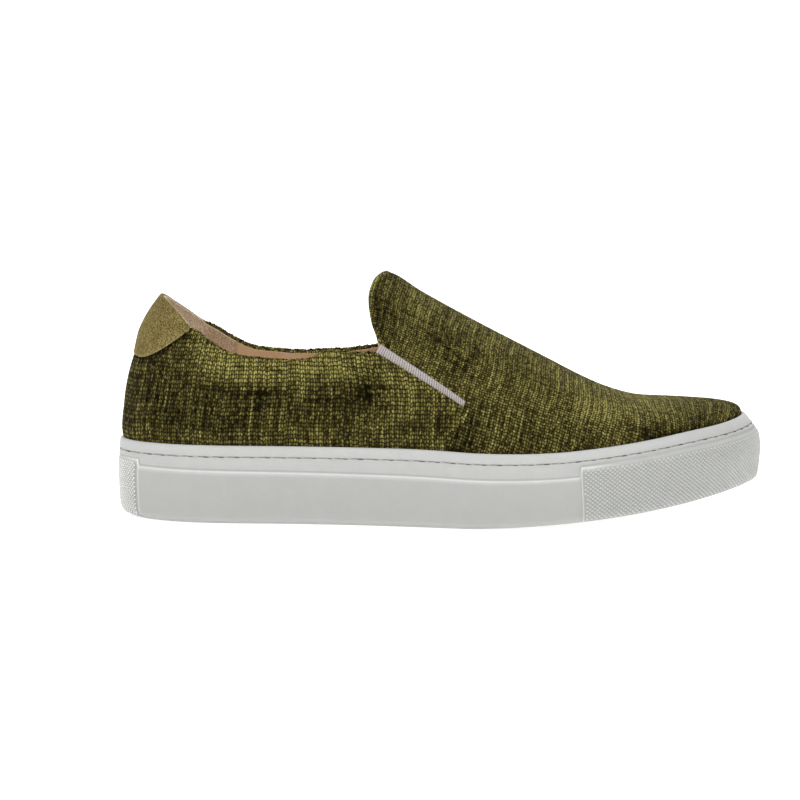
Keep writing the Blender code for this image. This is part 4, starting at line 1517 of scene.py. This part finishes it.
def repeated(name, mesh, tree, sizes, material):  # a plain mesh of what a tree makes of a guide
    guide = newObject(name + "Guide", mesh)
    modifier = guide.modifiers.new("repeat", "NODES")
    modifier.node_group = tree
    values = {"Seed": seed, "Material": material, **sizes}
    for item in tree.interface.items_tree:
        if item.in_out == "INPUT" and item.name in values:
            modifier[item.identifier] = values[item.name]
    graph = bpy.context.evaluated_depsgraph_get()
    made = bpy.data.meshes.new_from_object(guide.evaluated_get(graph))
    bpy.data.objects.remove(guide)
    made.name = name
    made.materials.clear()
    return newPiece(name, made, material)


def alongLines(name, lines, sizes, material):
    edges, at = [], 0
    for line in lines:
        edges += [(at + i, at + i + 1) for i in range(len(line) - 1)]
        at += len(line)
    mesh = bpy.data.meshes.new(name)
    mesh.from_pydata(np.concatenate(lines).tolist(), edges, [])
    repeated(name, mesh, rowsAlong, sizes, material)


def soleLine(level, sideInset, toeInset, leftOut):
    around = np.linspace(0, 1, 400)
    inset = edgeInset(around, sideInset, toeInset) - sole["heelFill"] * heelShare(around)
    inner = solePlace(medial, around[:-1][::-1], level, inset[:-1][::-1])
    return np.concatenate([solePlace(lateral, around, level, inset), inner])[leftOut:]


def makeStitches():
    alongLines("soleThread", [soleLine(*stitch["threadLine"])], stitch["thread"], thread)
    # painted shadow: dark dashes where the thread goes into the holes
    alongLines("soleSlits", [soleLine(*stitch["holeShadowLine"])], stitch["holeShadow"], holeShadowFinish)
    lines = []
    for side in (lateral, medial):
        for back in stitch["gripBack"]:
            around = np.full(40, lining["gripEnd"] - back)
            _, top, speed = collarRoll(side, around)
            level = top - np.linspace(*stitch["gripSpan"], 40) / speed
            lines.append(shiftedPoints(side, around, level, lining["gripFace"][1] - stitch["gripProud"]))
    alongLines("gripSeam", lines, stitch["grip"], gripThread)


def studPlaces():  # side, around and share of the panel's height of each stud
    tall = sole["bumperTop"] * sole["foreWall"]
    places = []
    spans = (  # the stretch of each bumper on one side
        (sole["toeBumperStart"] + sole["borderWidth"] + bumper["toeClear"], 1.0),
        (0.0, sole["heelBumperEnd"] - bumper["heelClear"]),
    )
    for start, end in spans:
        for level in range(int(tall / bumper["up"] * 2)):
            share = level * bumper["up"] / 2 / tall
            if not bumper["fromShare"] < share < bumper["toShare"]:
                continue
            for step in range(-bumper["mostSteps"], bumper["mostSteps"] + 1):
                place = (step + 0.5 * (level % 2)) * bumper["along"]
                side = lateral if place < 0 else medial
                far = abs(place) / sideLength(side)
                lean = sole["borderLean"] * (1 - share) if start else 0
                if far < end - start - lean:
                    places.append((side, 1 - far if start else far, share))
    return [np.array(column) for column in zip(*places)]


def studMesh():
    sides, around, share = studPlaces()
    dense = np.linspace(0, 4, 400)
    row = np.interp(share, readTable(sole["panel"], dense)[0], dense)
    points, vectors = [], {"out": [], "along": []}
    for side in (lateral, medial):
        a, r = around[sides == side], row[sides == side]
        along = soleWall(side, np.minimum(a + 0.001, 1), r) - soleWall(side, np.maximum(a - 0.001, 0), r)
        up = soleWall(side, a, r + 0.05) - soleWall(side, a, r - 0.05)
        points.append(soleWall(side, a, r))
        vectors["out"].append(outwardOf(side, along, up))
        vectors["along"].append(along / np.linalg.norm(along, axis=1)[:, None])
    mesh = bpy.data.meshes.new("bumperStuds")
    mesh.from_pydata(np.concatenate(points).tolist(), [], [])
    for key, ways in vectors.items():
        layer = mesh.attributes.new(key, "FLOAT_VECTOR", "POINT")
        layer.data.foreach_set("vector", np.concatenate(ways).astype(np.float32).ravel())
    return mesh


def makeStuds():
    along, up = bumper["along"] - bumper["gap"], bumper["up"] - bumper["gap"]
    sizes = {"Along": along, "Up": up, "Height": bumper["height"]}
    mesh = repeated("bumperStuds", studMesh(), studsOn, sizes, rubber).data
    places = np.empty(len(mesh.vertices) * 3, np.float32)
    mesh.vertices.foreach_get("co", places)
    # painted highlight on the studs
    addValues(mesh, "shade", np.where(places[::3] < 0, bumper["heelStudHighlight"], bumper["studHighlight"]))


def makeEdgeLoops():
    edges = []
    for side in (lateral, medial):
        around = np.linspace(heelTab["end"] + 0.009, last["throat"] - 0.004, 260)
        roll, top, _ = collarRoll(side, around)
        point, normal, up, _ = lastFrame(side, around, top)
        wave = 0.35 * mm * np.sin(around * 610) + 0.25 * mm * np.sin(around * 1130 + side)
        edges.append(pushed(pushed(point, normal, fabric["proud"] - roll + wave), up, roll * 0.8))
    alongLines("collarLoops", edges, edgeLoops, looseLoops)


makeStitches()
makeStuds()
makeEdgeLoops()
print("repeated: sole stitches, bumper studs and collar loops")
